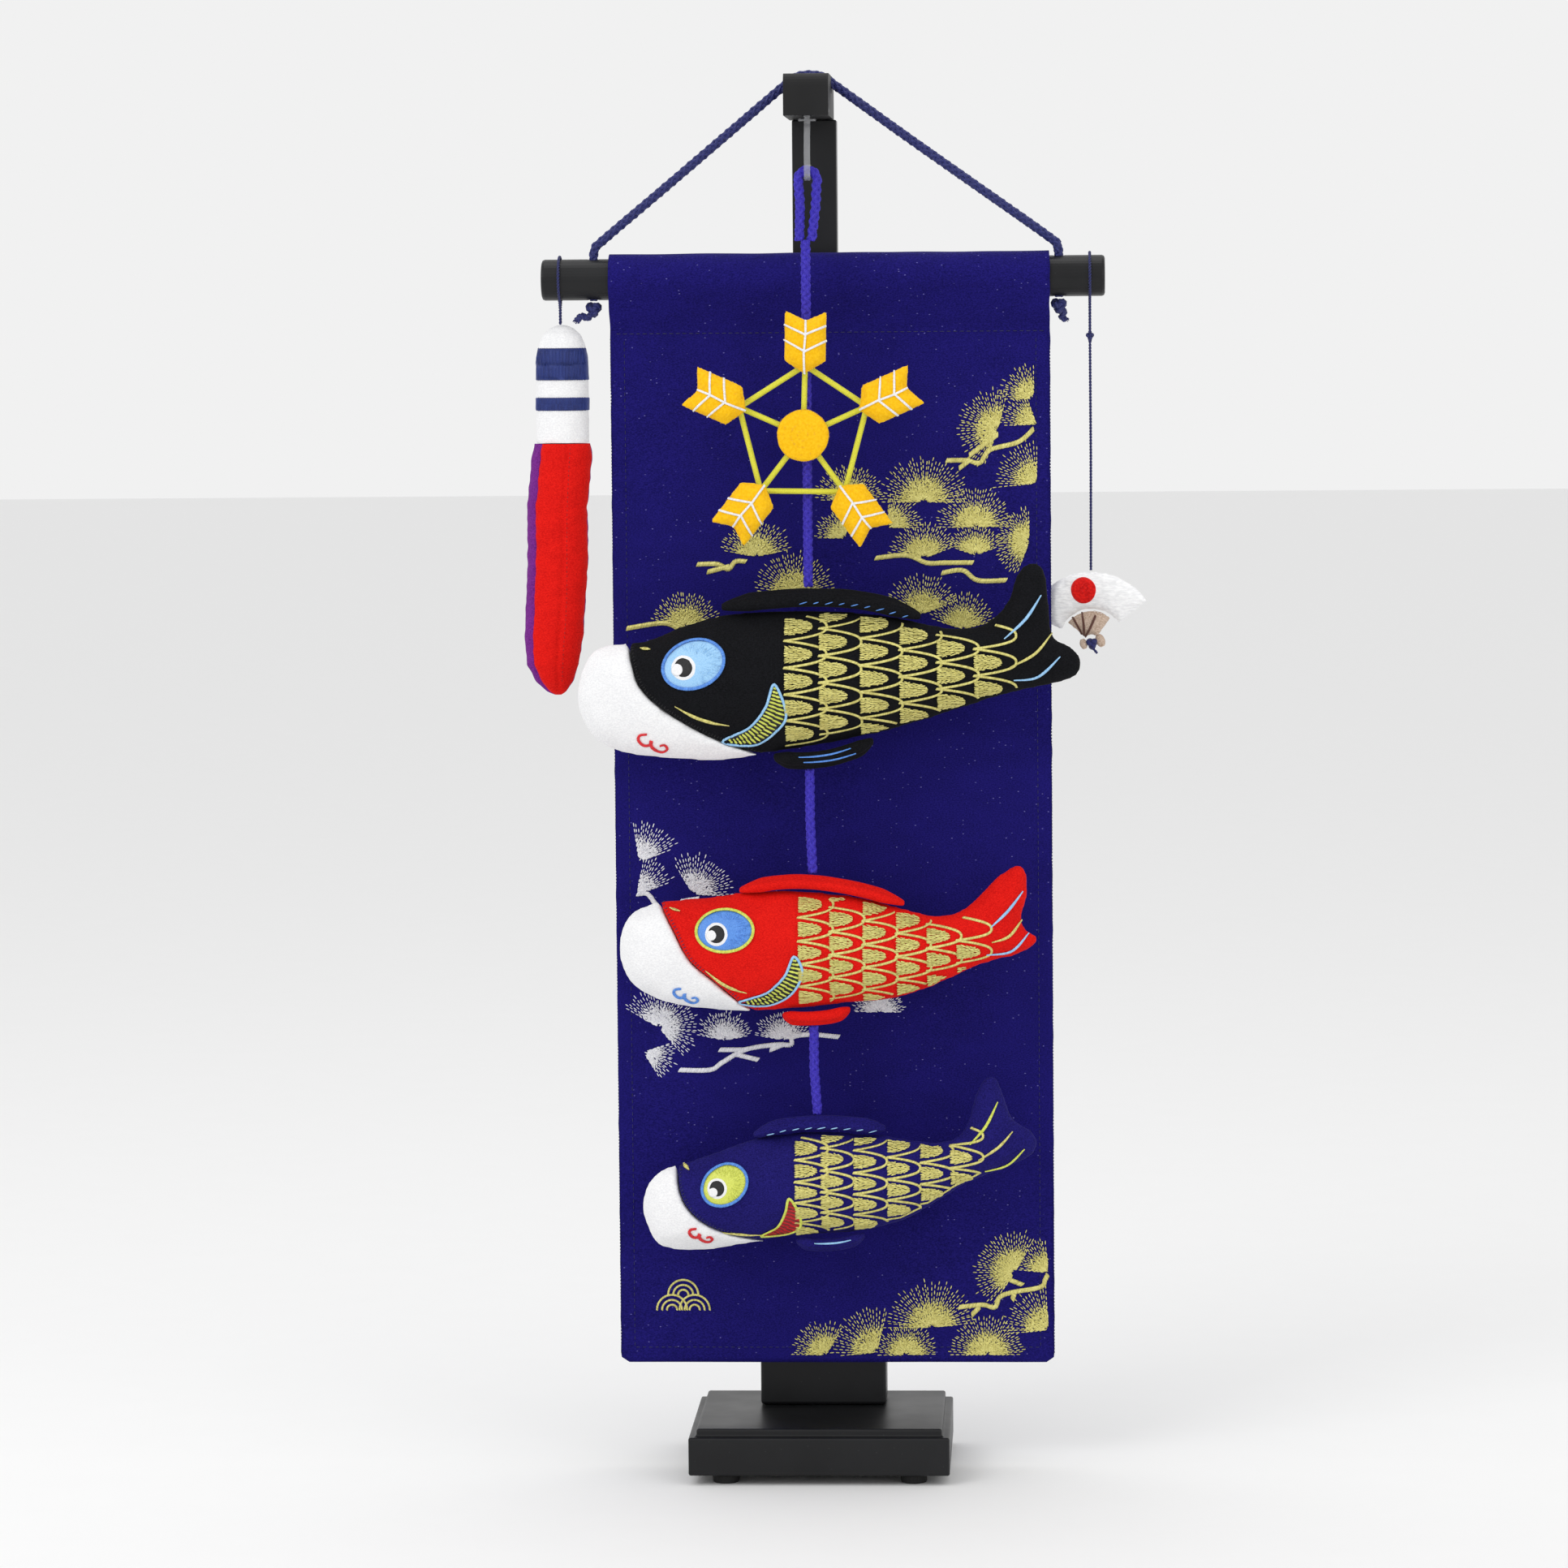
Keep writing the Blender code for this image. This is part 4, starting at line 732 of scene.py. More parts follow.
bannerCloth, bannerLength = makeBanner()
bannerSewing = makeBannerSewing(bannerCloth)
bannerFront = treeOf(bannerCloth)
print("banner made, cut length", round(bannerLength / mm), "mm")


# Pine embroidery on the banner

# A tuft, in mm and degrees: where its needles meet (x, z), their length, and the angles they spread between.
pine = {
    "goldTufts": [(78, 422, 14, 90, 180), (79, 412, 15, 110, 182), (64, 410, 16, 75, 250),
                  (79, 389, 17, 90, 185), (35, 382, 18, 0, 180), (6, 383, 14, 0, 180),
                  (4, 368, 12, 80, 180), (21, 372, 14, 0, 90),
                  (55, 372, 16, 0, 180), (55, 361, 13, 20, 160), (35, 360, 15, 20, 175),
                  (76, 366, 14, 90, 250),
                  (-31, 361, 15, 10, 170), (-16, 346, 17, 5, 175), (-59, 333, 15, 15, 165),
                  (34, 338, 16, 20, 170),
                  (50, 332, 15, 15, 160), (69, 77, 17, 60, 235), (82, 77, 14, 90, 175), (36, 55, 19, 5, 180),
                  (82, 54, 18, 88, 185), (58, 44, 16, 0, 180), (26, 44, 13, 0, 180), (14, 45, 19, 75, 185),
                  (-6, 44, 14, 60, 180)],
    "silverTufts": [(-78, 241, 16, 20, 100), (-79, 228, 16, 20, 80), (-57, 228, 16, -5, 120),
                    (-71, 175, 16, -50, 150), (-77, 165, 13, -60, 20), (-45, 170, 12, 10, 170),
                    (-22, 170, 12, 10, 170), (16, 181, 11, 0, 180)],
    "goldBranches": [[(16, 360), (28, 361), (36, 358), (43, 358), (54, 358)],
                     [(42, 354), (50, 355), (56, 351), (67, 351)],
                     [(-54, 358), (-46, 358), (-42, 356), (-39, 359), (-35, 359)], [(-50, 355), (-42, 357)],
                     [(-82, 333), (-68, 335), (-62, 333)],
                     [(44, 398), (52, 398), (57, 397), (61, 402), (72, 405), (78, 410)],
                     [(49, 395), (53, 398)], [(53, 400), (64, 408)], [(-9, 346), (6, 346)],
                     [(47, 63), (56, 64), (61, 63), (63, 67), (68, 69), (79, 71), (81, 74), (82, 76)],
                     [(52, 60), (55, 63)], [(67, 74), (72, 72)], [(68, 66), (69, 69)]],
    "silverBranches": [[(-63, 158), (-51, 158), (-46, 161), (-37, 166), (-25, 168), (-19, 168), (-18, 171),
                        (-11, 172), (0, 171)], [(-47, 166), (-37, 166)], [(-40, 164), (-32, 162)],
                       [(-27, 166), (-22, 168)], [(-79, 228), (-75, 228), (-72, 224)],
                       [(-62, 225), (-55, 226)]],
    "waves": [(-67, 62, 6), (-58, 62, 6), (-62.5, 68, 6)],  # a plain wave crest motif in the low left corner
    "needleStep": 4.5, "dash": 1.75 * mm, "width": 0.46 * mm, "core": 0.5, "branchWidth": 2.1 * mm,
    "inset": 2.6 * mm, "lowTop": 200 * mm, "leftEnd": 10 * mm,
    "starts": (2.0 * mm, 1.2 * mm), "height": 0.36 * mm, "fillStitch": (1.5 * mm, 0.5 * mm, 0.45 * mm),
    "waveRings": (1, 0.66, 0.34), "waveWidth": 0.9 * mm, "slant": 60, "pitch": 0.4 * mm, "lift": 0.2 * mm,
}


def tuftStitches(rng, tree, tuft):
    x, z, reach, start, end = tuft
    x, z, reach = x * mm, z * mm, reach * mm
    count = max(3, round((end - start) / pine["needleStep"]))
    low, high = banner["left"] + pine["inset"], banner["right"] - pine["inset"]
    found = []
    for i in range(count + 1):
        a = math.radians(start + (end - start) * i / count + rng.uniform(-1.2, 1.2))
        way = Vector((math.cos(a), 0, math.sin(a)))
        length = reach * (1 if i % 2 else 0.93) * rng.uniform(0.95, 1.03)
        r = pine["starts"][i % 2]
        while r + pine["dash"] * 0.6 < length:
            share = r / reach
            dash = pine["dash"] * rng.uniform(0.85, 1.1)
            p = Vector((x, 0, z)) + way * (r + dash / 2)
            step = dash * (1.02 if share < pine["core"] else 1.3)
            r += step
            if not (low < p.x < high and p.z > banner["bottom"] + pine["inset"]):
                continue
            place = onFront(tree, p.x, p.z)
            if place is None:
                continue
            hit, up = place
            tilt = rng.uniform(-0.1, 0.1) + (rng.uniform(-0.35, 0.35) if share < pine["core"] else 0)
            flatWay = (Matrix.Rotation(tilt, 3, "Y") @ way)
            flatWay = (flatWay - up * flatWay.dot(up)).normalized()
            wide = pine["width"] * (1.5 if share < pine["core"] else 1.0)
            lift = 0.1 * mm + (0.22 * mm * (1 - share / pine["core"]) if share < pine["core"] else 0)
            found.append((hit + up * lift, flatWay, up, (dash, wide, pine["height"]), rng.random()))
    fill = round(0.95 * count * reach / (3 * mm))  # the mound in the middle
    for _ in range(fill):
        a = math.radians(rng.uniform(start, end))
        r = reach * pine["core"] * math.sqrt(rng.uniform(0.01, 0.9))
        p = Vector((x + r * math.cos(a), 0, z + r * math.sin(a)))
        if not (low < p.x < high and p.z > banner["bottom"] + pine["inset"]):
            continue
        place = onFront(tree, p.x, p.z)
        if place is None:
            continue
        hit, up = place
        b = a + rng.uniform(-0.7, 0.7)
        way = Vector((math.cos(b), 0, math.sin(b)))
        way = (way - up * way.dot(up)).normalized()
        found.append((hit + up * 0.3 * mm, way, up, pine["fillStitch"], rng.random()))
    return found


def pineGroups(name, stitches):
    # the gold is too heavy for one piece, so it is parted at a height and at an upright line
    if name != "goldPine":
        return [(name, stitches)]
    low = [s for s in stitches if s[0].z < pine["lowTop"]]
    upper = [s for s in stitches if s[0].z >= pine["lowTop"]]
    return [("goldPineLow", low), ("goldPineLeft", [s for s in upper if s[0].x < pine["leftEnd"]]),
            ("goldPineRight", [s for s in upper if s[0].x >= pine["leftEnd"]])]


def makePine(tree):
    for colour, name, slotName in (("gold", "goldPine", "yellow_wire"),
                                   ("silver", "silverPine", "white_crepe")):
        rng, stitches = random.Random(len(name)), []
        for tuft in pine[colour + "Tufts"]:
            stitches += tuftStitches(rng, tree, tuft)
        for branch in pine[colour + "Branches"]:
            line = spline([(x * mm, 0, z * mm) for x, z in branch], 6)
            stitches += rope(rng, tree, [p.xz for p in line], pine["branchWidth"], pine["slant"],
                             pine["lift"], pine["pitch"])
        if colour == "gold":
            for x, z, size in pine["waves"]:
                for share in pine["waveRings"]:
                    arc = [((x + size * share * math.cos(math.radians(a))) * mm,
                            (z + size * share * math.sin(math.radians(a))) * mm) for a in range(0, 181, 12)]
                    stitches += rope(rng, tree, arc, pine["waveWidth"], pine["slant"], pine["lift"],
                                     pine["pitch"])
        for piece, stitched in pineGroups(name, stitches):
            settle(sewn(piece, stitched, colour, 5, 4), "banner", slotName)
            print(" ", piece, len(stitched), "stitches")
    print("pine embroidery made")


makePine(bannerFront)


# Stuffed pieces

stuffing = {
    "simScale": 10.0, "pressure": 2.2, "frames": 20, "seam": 0.22,
    "quality": 4, "mass": 0.02, "stretch": 12, "bend": 0.6,
}


def copyOfNodes(*names):
    bm = bmesh.new()
    for name in names:
        bm.from_mesh(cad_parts[name].data)
    bmesh.ops.remove_doubles(bm, verts=bm.verts, dist=0.005 * mm)
    return bm


def swollen(mesh, cap):
    # blows the cloth up a little from inside, while its sewn edge holds still
    size = stuffing["simScale"]
    copy = mesh.copy()
    copy.transform(Matrix.Scale(size, 4))
    helper = bpy.data.objects.new("swelling", copy)
    scene.collection.objects.link(helper)
    seam = helper.vertex_groups.new(name="seam")  # the sewn edge holds still
    seam.add([v.index for v in copy.vertices if abs(v.normal.y) < stuffing["seam"]], 1.0, "REPLACE")
    cloth = helper.modifiers.new("cloth", "CLOTH")
    settings = cloth.settings
    settings.vertex_group_mass = "seam"
    settings.quality, settings.mass = stuffing["quality"], stuffing["mass"]
    settings.use_pressure, settings.uniform_pressure_force = True, stuffing["pressure"]
    settings.effector_weights.gravity = 0
    settings.tension_stiffness = settings.compression_stiffness = stuffing["stretch"]
    settings.bending_stiffness = stuffing["bend"]
    cloth.point_cache.frame_start, cloth.point_cache.frame_end = 1, stuffing["frames"]
    for number in range(1, stuffing["frames"] + 1):
        scene.frame_set(number)
    result = helper.evaluated_get(bpy.context.evaluated_depsgraph_get()).to_mesh()
    before, after = np.empty(len(mesh.vertices) * 3), np.empty(len(mesh.vertices) * 3)
    mesh.vertices.foreach_get("co", before)
    result.vertices.foreach_get("co", after)
    moved = (after / size - before).reshape(-1, 3)
    far = np.linalg.norm(moved, axis=1, keepdims=True)
    print("  swelling: middle", round(float(np.median(far)) / mm, 3), "most",
          round(float(far.max()) / mm, 3), "mm")
    before += (moved * np.minimum(1, cap / np.maximum(far, 1e-9))).ravel()
    mesh.vertices.foreach_set("co", before)
    scene.frame_set(1)
    bpy.data.objects.remove(helper)


def stuffedMesh(name, nodes, cell, smoothing, cap, wrinkle):
    bm, mesh = copyOfNodes(*nodes), bpy.data.meshes.new(name)
    bm.to_mesh(mesh)
    bm.free()
    helper = bpy.data.objects.new(name + "Helper", mesh)
    scene.collection.objects.link(helper)
    remesh = helper.modifiers.new("cells", "REMESH")
    remesh.mode, remesh.voxel_size = "VOXEL", cell
    smooth = helper.modifiers.new("smooth", "SMOOTH")
    smooth.factor, smooth.iterations = 0.5, smoothing
    obj = bakedMesh(helper, name)
    swollen(obj.data, cap)
    count = len(obj.data.vertices)
    points, normals = np.empty(count * 3), np.empty(count * 3)
    obj.data.vertices.foreach_get("co", points)
    obj.data.vertices.foreach_get("normal", normals)
    points, normals = points.reshape(-1, 3), normals.reshape(-1, 3)
    for i, p in enumerate(points):
        fine = noise.noise(Vector(p) / (5 * mm)) + 0.5 * noise.noise(Vector(p) / (2.2 * mm))
        points[i] = p + normals[i] * wrinkle * fine
    obj.data.vertices.foreach_set("co", points.ravel())
    obj.data.update()
    obj.data.shade_smooth()
    return obj


def dress(obj, look):
    obj.data.materials.clear()
    obj.data.materials.append(looks[look])
    return obj


# Carps: every place is in hundredths of the fish's length, along it and up from the tip of its nose

carps = {
    "black": {
        "nose": (-100 * mm, 306 * mm), "length": 197 * mm, "skin": "black",
        "cheek": [(10.4, 11.7), (11.5, 6.9), (13.1, 2.9), (17.5, -1.3), (23.9, -5.3), (28.8, -7.7),
                  (36.5, -10.6)],
        "eye": (23.6, 7.6), "eyeSize": (12.2 * mm, 9.0 * mm), "eyeTilt": 18, "rim": "blueThread",
        "iris": "skyThread",
        "pupilAt": (-3.8 * mm, -1.3 * mm), "pupil": 4.3 * mm, "glintAt": (-6.2 * mm, -2.2 * mm),
        "glint": 2.6 * mm,
        "gill": [(39.5, 3.7), (41.7, -2.1), (39.7, -5.6), (35.2, -8.4), (29.1, -7.6), (34.4, -4.8),
                 (37.7, -0.8)],
        "gillRim": "skyThread", "gillRays": ("limeThread", "blackThread"),
        "nostril": [(13.0, 10.6), (14.8, 10.4)], "cheekLine": [(20.0, -0.6), (23.6, -2.6), (27.4, -3.9),
                                                               (30.4, -4.4)],
        "mouth": (15.3, -7.8), "mouthLook": "redThread",
        "scaleColumns": [(41.4, 14.7, 5), (48.2, 17.0, 5), (56.2, 15.1, 5), (63.9, 12.8, 4), (71.2, 10.3, 3),
                         (78.5, 7.6, 2)], "scaleStep": 5.2,
        "tailLines": [("skyThread", [(84.6, 12.2), (88.7, 16.0), (91.6, 20.5)]),
                      ("gold", [(85.6, 6.6), (90.5, 9.2), (93.7, 13.0)]),
                      ("skyThread", [(86.4, 4.0), (91.0, 4.6), (95.3, 8.4)])],
        "finStitch": "blueThread", "finRun": (0.42, 0.95), "strands": (0, 1.9),
        "finTop": [(29, 17.6), (38, 18.6), (48, 19.0), (58, 18.2), (68, 15.8)],
        "finLow": [(39, -11.0), (44, -11.3), (50, -10.9), (56, -9.5), (58.5, -8.6)],
    },
    "red": {
        "nose": (-84.6 * mm, 208.8 * mm), "length": 164 * mm, "skin": "red",
        "cheek": [(9.7, 11.8), (13.4, 5.2), (17.2, -1.9), (22.9, -6.9), (29.2, -12.5), (33, -14.8)],
        "eye": (25.7, 5.2), "eyeSize": (11.1 * mm, 7.9 * mm), "eyeTilt": 2, "rim": "limeThread",
        "iris": "blueThread",
        "pupilAt": (-3.2 * mm, -1.3 * mm), "pupil": 4.0 * mm, "glintAt": (-5.1 * mm, -1.7 * mm),
        "glint": 2.3 * mm,
        "gill": [(42.1, -0.8), (44.0, -4.8), (41.0, -10.2), (35.2, -13.0), (28.9, -12.0), (35.2, -9.7),
                 (39.7, -5.6)],
        "gillRim": "skyThread", "gillRays": ("limeThread", "blackThread"),
        "nostril": [(12.6, 10.3), (14.8, 9.6)], "cheekLine": [(21.2, -4.2), (24.8, -7.2), (28.0, -8.9),
                                                              (30.6, -9.6)],
        "mouth": (16.2, -10.3), "mouthLook": "blueThread",
        "scaleColumns": [(43.0, 11.0, 5), (50.4, 13.2, 5), (58.2, 10.1, 5), (66.1, 7.1, 4), (73.3, 3.5, 3),
                         (80.4, -0.2, 2)], "scaleStep": 5.45,
        "tailLines": [("skyThread", [(88.6, 5.6), (92.6, 9.4), (96.0, 13.8)]),
                      ("gold", [(88.9, 2.0), (92.9, 3.4), (96.0, 7.3)]),
                      ("skyThread", [(87.6, -1.1), (93.2, -0.4), (97.4, 3.7)])],
        "finStitch": None, "finRun": (0, 1), "strands": (),
        "finTop": [(29, 13.6), (38, 15.2), (47, 15.2), (58, 13.4), (68, 10.4)],
        "finLow": [(39, -14.9), (44, -15.2), (50, -14.9), (55, -13.8)],
    },
    "blue": {
        "nose": (-76.8 * mm, 107.8 * mm), "length": 156 * mm, "skin": "blue",
        "cheek": [(9.4, 10.8), (9.8, 5.1), (12.2, 0), (16.7, -3.9), (23.1, -6.6), (31.5, -8.6)],
        "eye": (21.4, 6.3), "eyeSize": (9.3 * mm, 7.3 * mm), "eyeTilt": 30, "rim": "blueThread",
        "iris": "limeThread",
        "pupilAt": (-2.9 * mm, -1.3 * mm), "pupil": 3.5 * mm, "glintAt": (-4.4 * mm, -2.7 * mm),
        "glint": 2.1 * mm,
        "gill": [(37.5, 3.1), (39.8, -0.6), (40.0, -4.5), (36.5, -6.6), (30.1, -7.0), (34.3, -4.5),
                 (36.4, -0.6)],
        "gillRim": "limeThread", "gillRays": ("darkRed", "redThread"),
        "nostril": [(10.7, 11.0), (12.2, 9.6)], "cheekLine": [(17.9, -5.2), (22.0, -6.0), (27.0, -6.6),
                                                              (30.0, -6.7)],
        "mouth": (15.2, -6.4), "mouthLook": "redThread",
        "scaleColumns": [(38.9, 15.2, 5), (45.4, 18.0, 5), (53.6, 17.4, 5), (61.9, 15.7, 4), (70.2, 14.3, 3),
                         (77.6, 12.9, 2)], "scaleStep": 5.3,
        "tailLines": [("limeThread", [(82.7, 16.0), (86.6, 20.6), (89.4, 26.4)]),
                      ("gold", [(84.8, 12.2), (89.6, 15.3), (93.1, 19.0)]),
                      ("limeThread", [(86.4, 9.1), (91.9, 10.6), (96.0, 14.6)])],
        "finStitch": "skyThread", "finRun": (0.05, 0.95), "strands": (0.4,),
        "finTop": [(28.5, 17.5), (36, 19.7), (45, 20.4), (54, 20.0), (61.5, 19.0)],
        "finLow": [(39, -9.4), (44, -9.9), (50, -9.6), (56, -8.2)],
    },
}
carpSkill = {
    "cell": 1.15 * mm, "smoothing": 14, "cap": 1.3 * mm, "wrinkle": 0.14 * mm, "scaleDepth": 0.083,
    "ropeWidth": 1.1 * mm, "fillShare": 0.64, "stringY": -28 * mm, "finLobe": 1.75 * mm,
    "finStitchDrop": 1.1 * mm,
    "mouthCurl": [(-2.3, 3.3), (-4.9, 2.9), (-5.5, 1.0), (-3.6, -1.1), (-1.2, -0.9), (-0.5, 0.7),
                  (-0.7, -1.3),
                  (1.1, -3.2), (3.6, -3.9), (5.5, -2.6), (4.6, -1.0), (2.9, -1.3)],
}


def placeOn(carp, along, up):
    x, z = carp["nose"]
    return (x + carp["length"] * along / 100, z + carp["length"] * up / 100)


def lineOn(carp, percents):
    return [p.xz for p in spline([(x, 0, z) for x, z in (placeOn(carp, *p) for p in percents)], 8)]


def addPatch(shape, tree, centre, outline, lift, look, rings=6):
    # an appliqué disc that follows the surface; centre and outline are (x, z) points
    points, faces, count = [], [], len(outline)
    for ring in range(rings + 1):
        share = ring / rings
        for p in outline:
            x = centre[0] + (p[0] - centre[0]) * share
            z = centre[1] + (p[1] - centre[1]) * share
            place = onFront(tree, x, z)
            hit, up = place if place else (Vector((x, carpSkill["stringY"], z)), Vector((0, -1, 0)))
            points.append(hit + up * lift * (1 if ring < rings else 0.25))
            if ring == 0:
                break
    low = len(points)
    for p in points[:low]:
        points.append(p + Vector((0, lift + 0.25 * mm, 0)))
    for base, turnBack in ((0, False), (low, True)):
        fan = [(base, base + 1 + k, base + 1 + (k + 1) % count) for k in range(count)]
        for ring in range(rings - 1):
            a = base + 1 + ring * count
            fan += [(a + k, a + count + k, a + count + (k + 1) % count,
                     a + (k + 1) % count) for k in range(count)]
        faces += [f[::-1] for f in fan] if turnBack else fan
    edge = 1 + (rings - 1) * count
    faces += [(edge + k, low + edge + k, low + edge + (k + 1) % count,
               edge + (k + 1) % count) for k in range(count)]
    addFaces(shape, points, faces, look)


def oval(centre, halves, tilt, count=40):
    c, s = math.cos(math.radians(tilt)), math.sin(math.radians(tilt))
    return [(centre[0] + halves[0] * math.cos(a) * c - halves[1] * math.sin(a) * s,
             centre[1] + halves[0] * math.cos(a) * s + halves[1] * math.sin(a) * c)
            for a in (2 * math.pi * k / count for k in range(count))]


def makeEye(name, carp, tree, rng):
    body = name + "_carp"
    centre = placeOn(carp, *carp["eye"])
    long, short = carp["eyeSize"]
    shape = newShape()
    addPatch(shape, tree, centre, oval(centre, (long * 0.97, short * 0.97), carp["eyeTilt"]), 0.5 * mm, 0)
    pupilAt = (centre[0] + carp["pupilAt"][0], centre[1] + carp["pupilAt"][1])
    glintAt = (centre[0] + carp["glintAt"][0], centre[1] + carp["glintAt"][1])
    ringSize, pupil, glint = carp["pupil"] * 1.27, carp["pupil"], carp["glint"]
    for at, size, lift, look in ((pupilAt, ringSize, 0.75, 1), (pupilAt, pupil, 0.95, 2),
                                 (glintAt, glint, 1.2, 1)):
        addPatch(shape, tree, at, oval(at, (size, size), 0, 32), lift * mm, look, 4)
    eye = makeObject(name + "Eye", shape, [carp["iris"], "whiteThread", "blackThread"], shade=0.5)
    settle(eye, body, "eye_blue", name + "_eye")
    edge = oval(centre, (long, short), carp["eyeTilt"], 60)
    stitches = rope(rng, tree, edge + edge[:1], 1.35 * mm, 80, 0.55 * mm, 0.42 * mm)
    settle(sewn(name + "EyeRim", stitches, carp["rim"]), body, "eye_blue")
    rays = []
    for k in range(150):  # fine satin stitches across the iris
        a, r = 2 * math.pi * k / 150, 0.5 + 0.34 * rng.random()
        c, s = math.cos(math.radians(carp["eyeTilt"])), math.sin(math.radians(carp["eyeTilt"]))
        u, v = long * r * math.cos(a), short * r * math.sin(a)
        x, z = centre[0] + u * c - v * s, centre[1] + u * s + v * c
        if math.hypot(x - pupilAt[0], z - pupilAt[1]) < ringSize + 1.45 * mm:
            continue
        place = onFront(tree, x, z)
        if place:
            hit, up = place
            way = Vector((x - centre[0], 0, z - centre[1])).normalized()
            way = (way - up * way.dot(up)).normalized()
            rays.append((hit + up * 0.52 * mm, way, up, (2.6 * mm, 0.34 * mm, 0.22 * mm), rng.random()))
    settle(sewn(name + "Iris", rays, carp["iris"], 5, 3), body, "eye_blue")


def makeGill(name, carp, tree, rng):
    body = name + "_carp"
    outline = [p.xz for p in spline([(x, 0, z) for x, z in (placeOn(carp, *p) for p in carp["gill"])], 8,
                                    True)]
    middle = placeOn(carp, *[sum(v) / 2 for v in zip(carp["gill"][2], carp["gill"][5])])
    shape = newShape()
    addPatch(shape, tree, middle, outline, 0.35 * mm, 0, 5)
    gill = makeObject(name + "Gill", shape, [carp["gillRays"][1]], shade=0.2)
    settle(gill, body, "gill_blue", name + "_gill")
    outer, inner = carp["gill"][:5], [carp["gill"][0], carp["gill"][6], carp["gill"][5], carp["gill"][4]]
    far = respaced(upright(lineOn(carp, outer)), 1.9 * mm)
    near = upright(lineOn(carp, inner))
    near = respaced(near, lengthOf(near) / (len(far) - 1))
    rays = []
    for k in range(1, len(far) - 1):
        a, b = near[min(k, len(near) - 1)], far[k]
        way = b - a
        if way.length < 1.2 * mm:
            continue
        for share in (0.3, 0.7):
            p = a.lerp(b, share)
            place = onFront(tree, p.x, p.z)
            if place:
                hit, up = place
                flat = (way - up * way.dot(up)).normalized()
                rays.append((hit + up * 0.45 * mm, flat, up, (way.length * 0.54, 1.05 * mm, 0.42 * mm),
                             rng.random()))
    settle(sewn(name + "GillRays", rays, carp["gillRays"][0]), body, "gill_blue")
    stitches = rope(rng, tree, outline + outline[:1], 1.15 * mm, 70, 0.5 * mm, 0.42 * mm)
    settle(sewn(name + "GillRim", stitches, carp["gillRim"]), body, "gill_blue")


def makeScales(name, carp, tree, rng):
    step, length = carp["scaleStep"] * carp["length"] / 100, carp["length"]
    depth, stitches = carpSkill["scaleDepth"] * length, []
    for start, top, count in carp["scaleColumns"]:
        for row in range(-1, count + 1):
            partial = row in (-1, count)
            x, z = placeOn(carp, start, top)
            z -= row * step
            arc = []
            for k in range(25):
                u = 1 - 2 * k / 24
                arc.append((x + depth * (1 - abs(u) ** 2.6), z + u * step * 0.5))
            arc = [p for p in arc if inSkin(tree, p, 1.6 * mm)]
            if len(arc) > (17 if partial else 6):
                stitches += rope(rng, tree, arc, carpSkill["ropeWidth"], 58, 0.22 * mm, 0.42 * mm)
            if partial:
                continue
            rows = 13
            for r in range(rows):
                v = -1 + 2 * (r + 0.5) / rows
                reach = depth * carpSkill["fillShare"] * (1 - abs(v) ** 2.4) ** 0.6
                at = -0.3 * mm * rng.random()
                while at < reach:
                    long = min(2.4 * mm, reach - at + 0.6 * mm) * rng.uniform(0.85, 1.1)
                    px, pz = x + at + long / 2, z + v * step * 0.3 + rng.uniform(-0.12, 0.12) * mm
                    at += long * 0.72
                    place = onFront(tree, px, pz)
                    if place is None or not inSkin(tree, (px, pz), 1.2 * mm):
                        continue
                    hit, up = place
                    way = Vector((1, 0, -v * 0.25 + rng.uniform(-0.28, 0.28)))
                    way = (way - up * way.dot(up)).normalized()
                    lift = 0.25 * mm + 0.55 * mm * (1 - v * v) * (1 - 0.5 * at / max(reach, 1e-6))
                    stitches.append((hit + up * lift, way, up, (long, 0.58 * mm, 0.6 * mm), rng.random()))
    settle(sewn(name + "Scales", stitches, "gold", 5, 4), name + "_carp", "yellow_wire")


def inSkin(tree, p, margin):
    # whether this point lies clear of the fish's edge
    return all(onFront(tree, p[0] + dx * margin, p[1] + dz * margin) for dx,
               dz in ((1, 0), (-1, 0), (0, 1), (0, -1)))


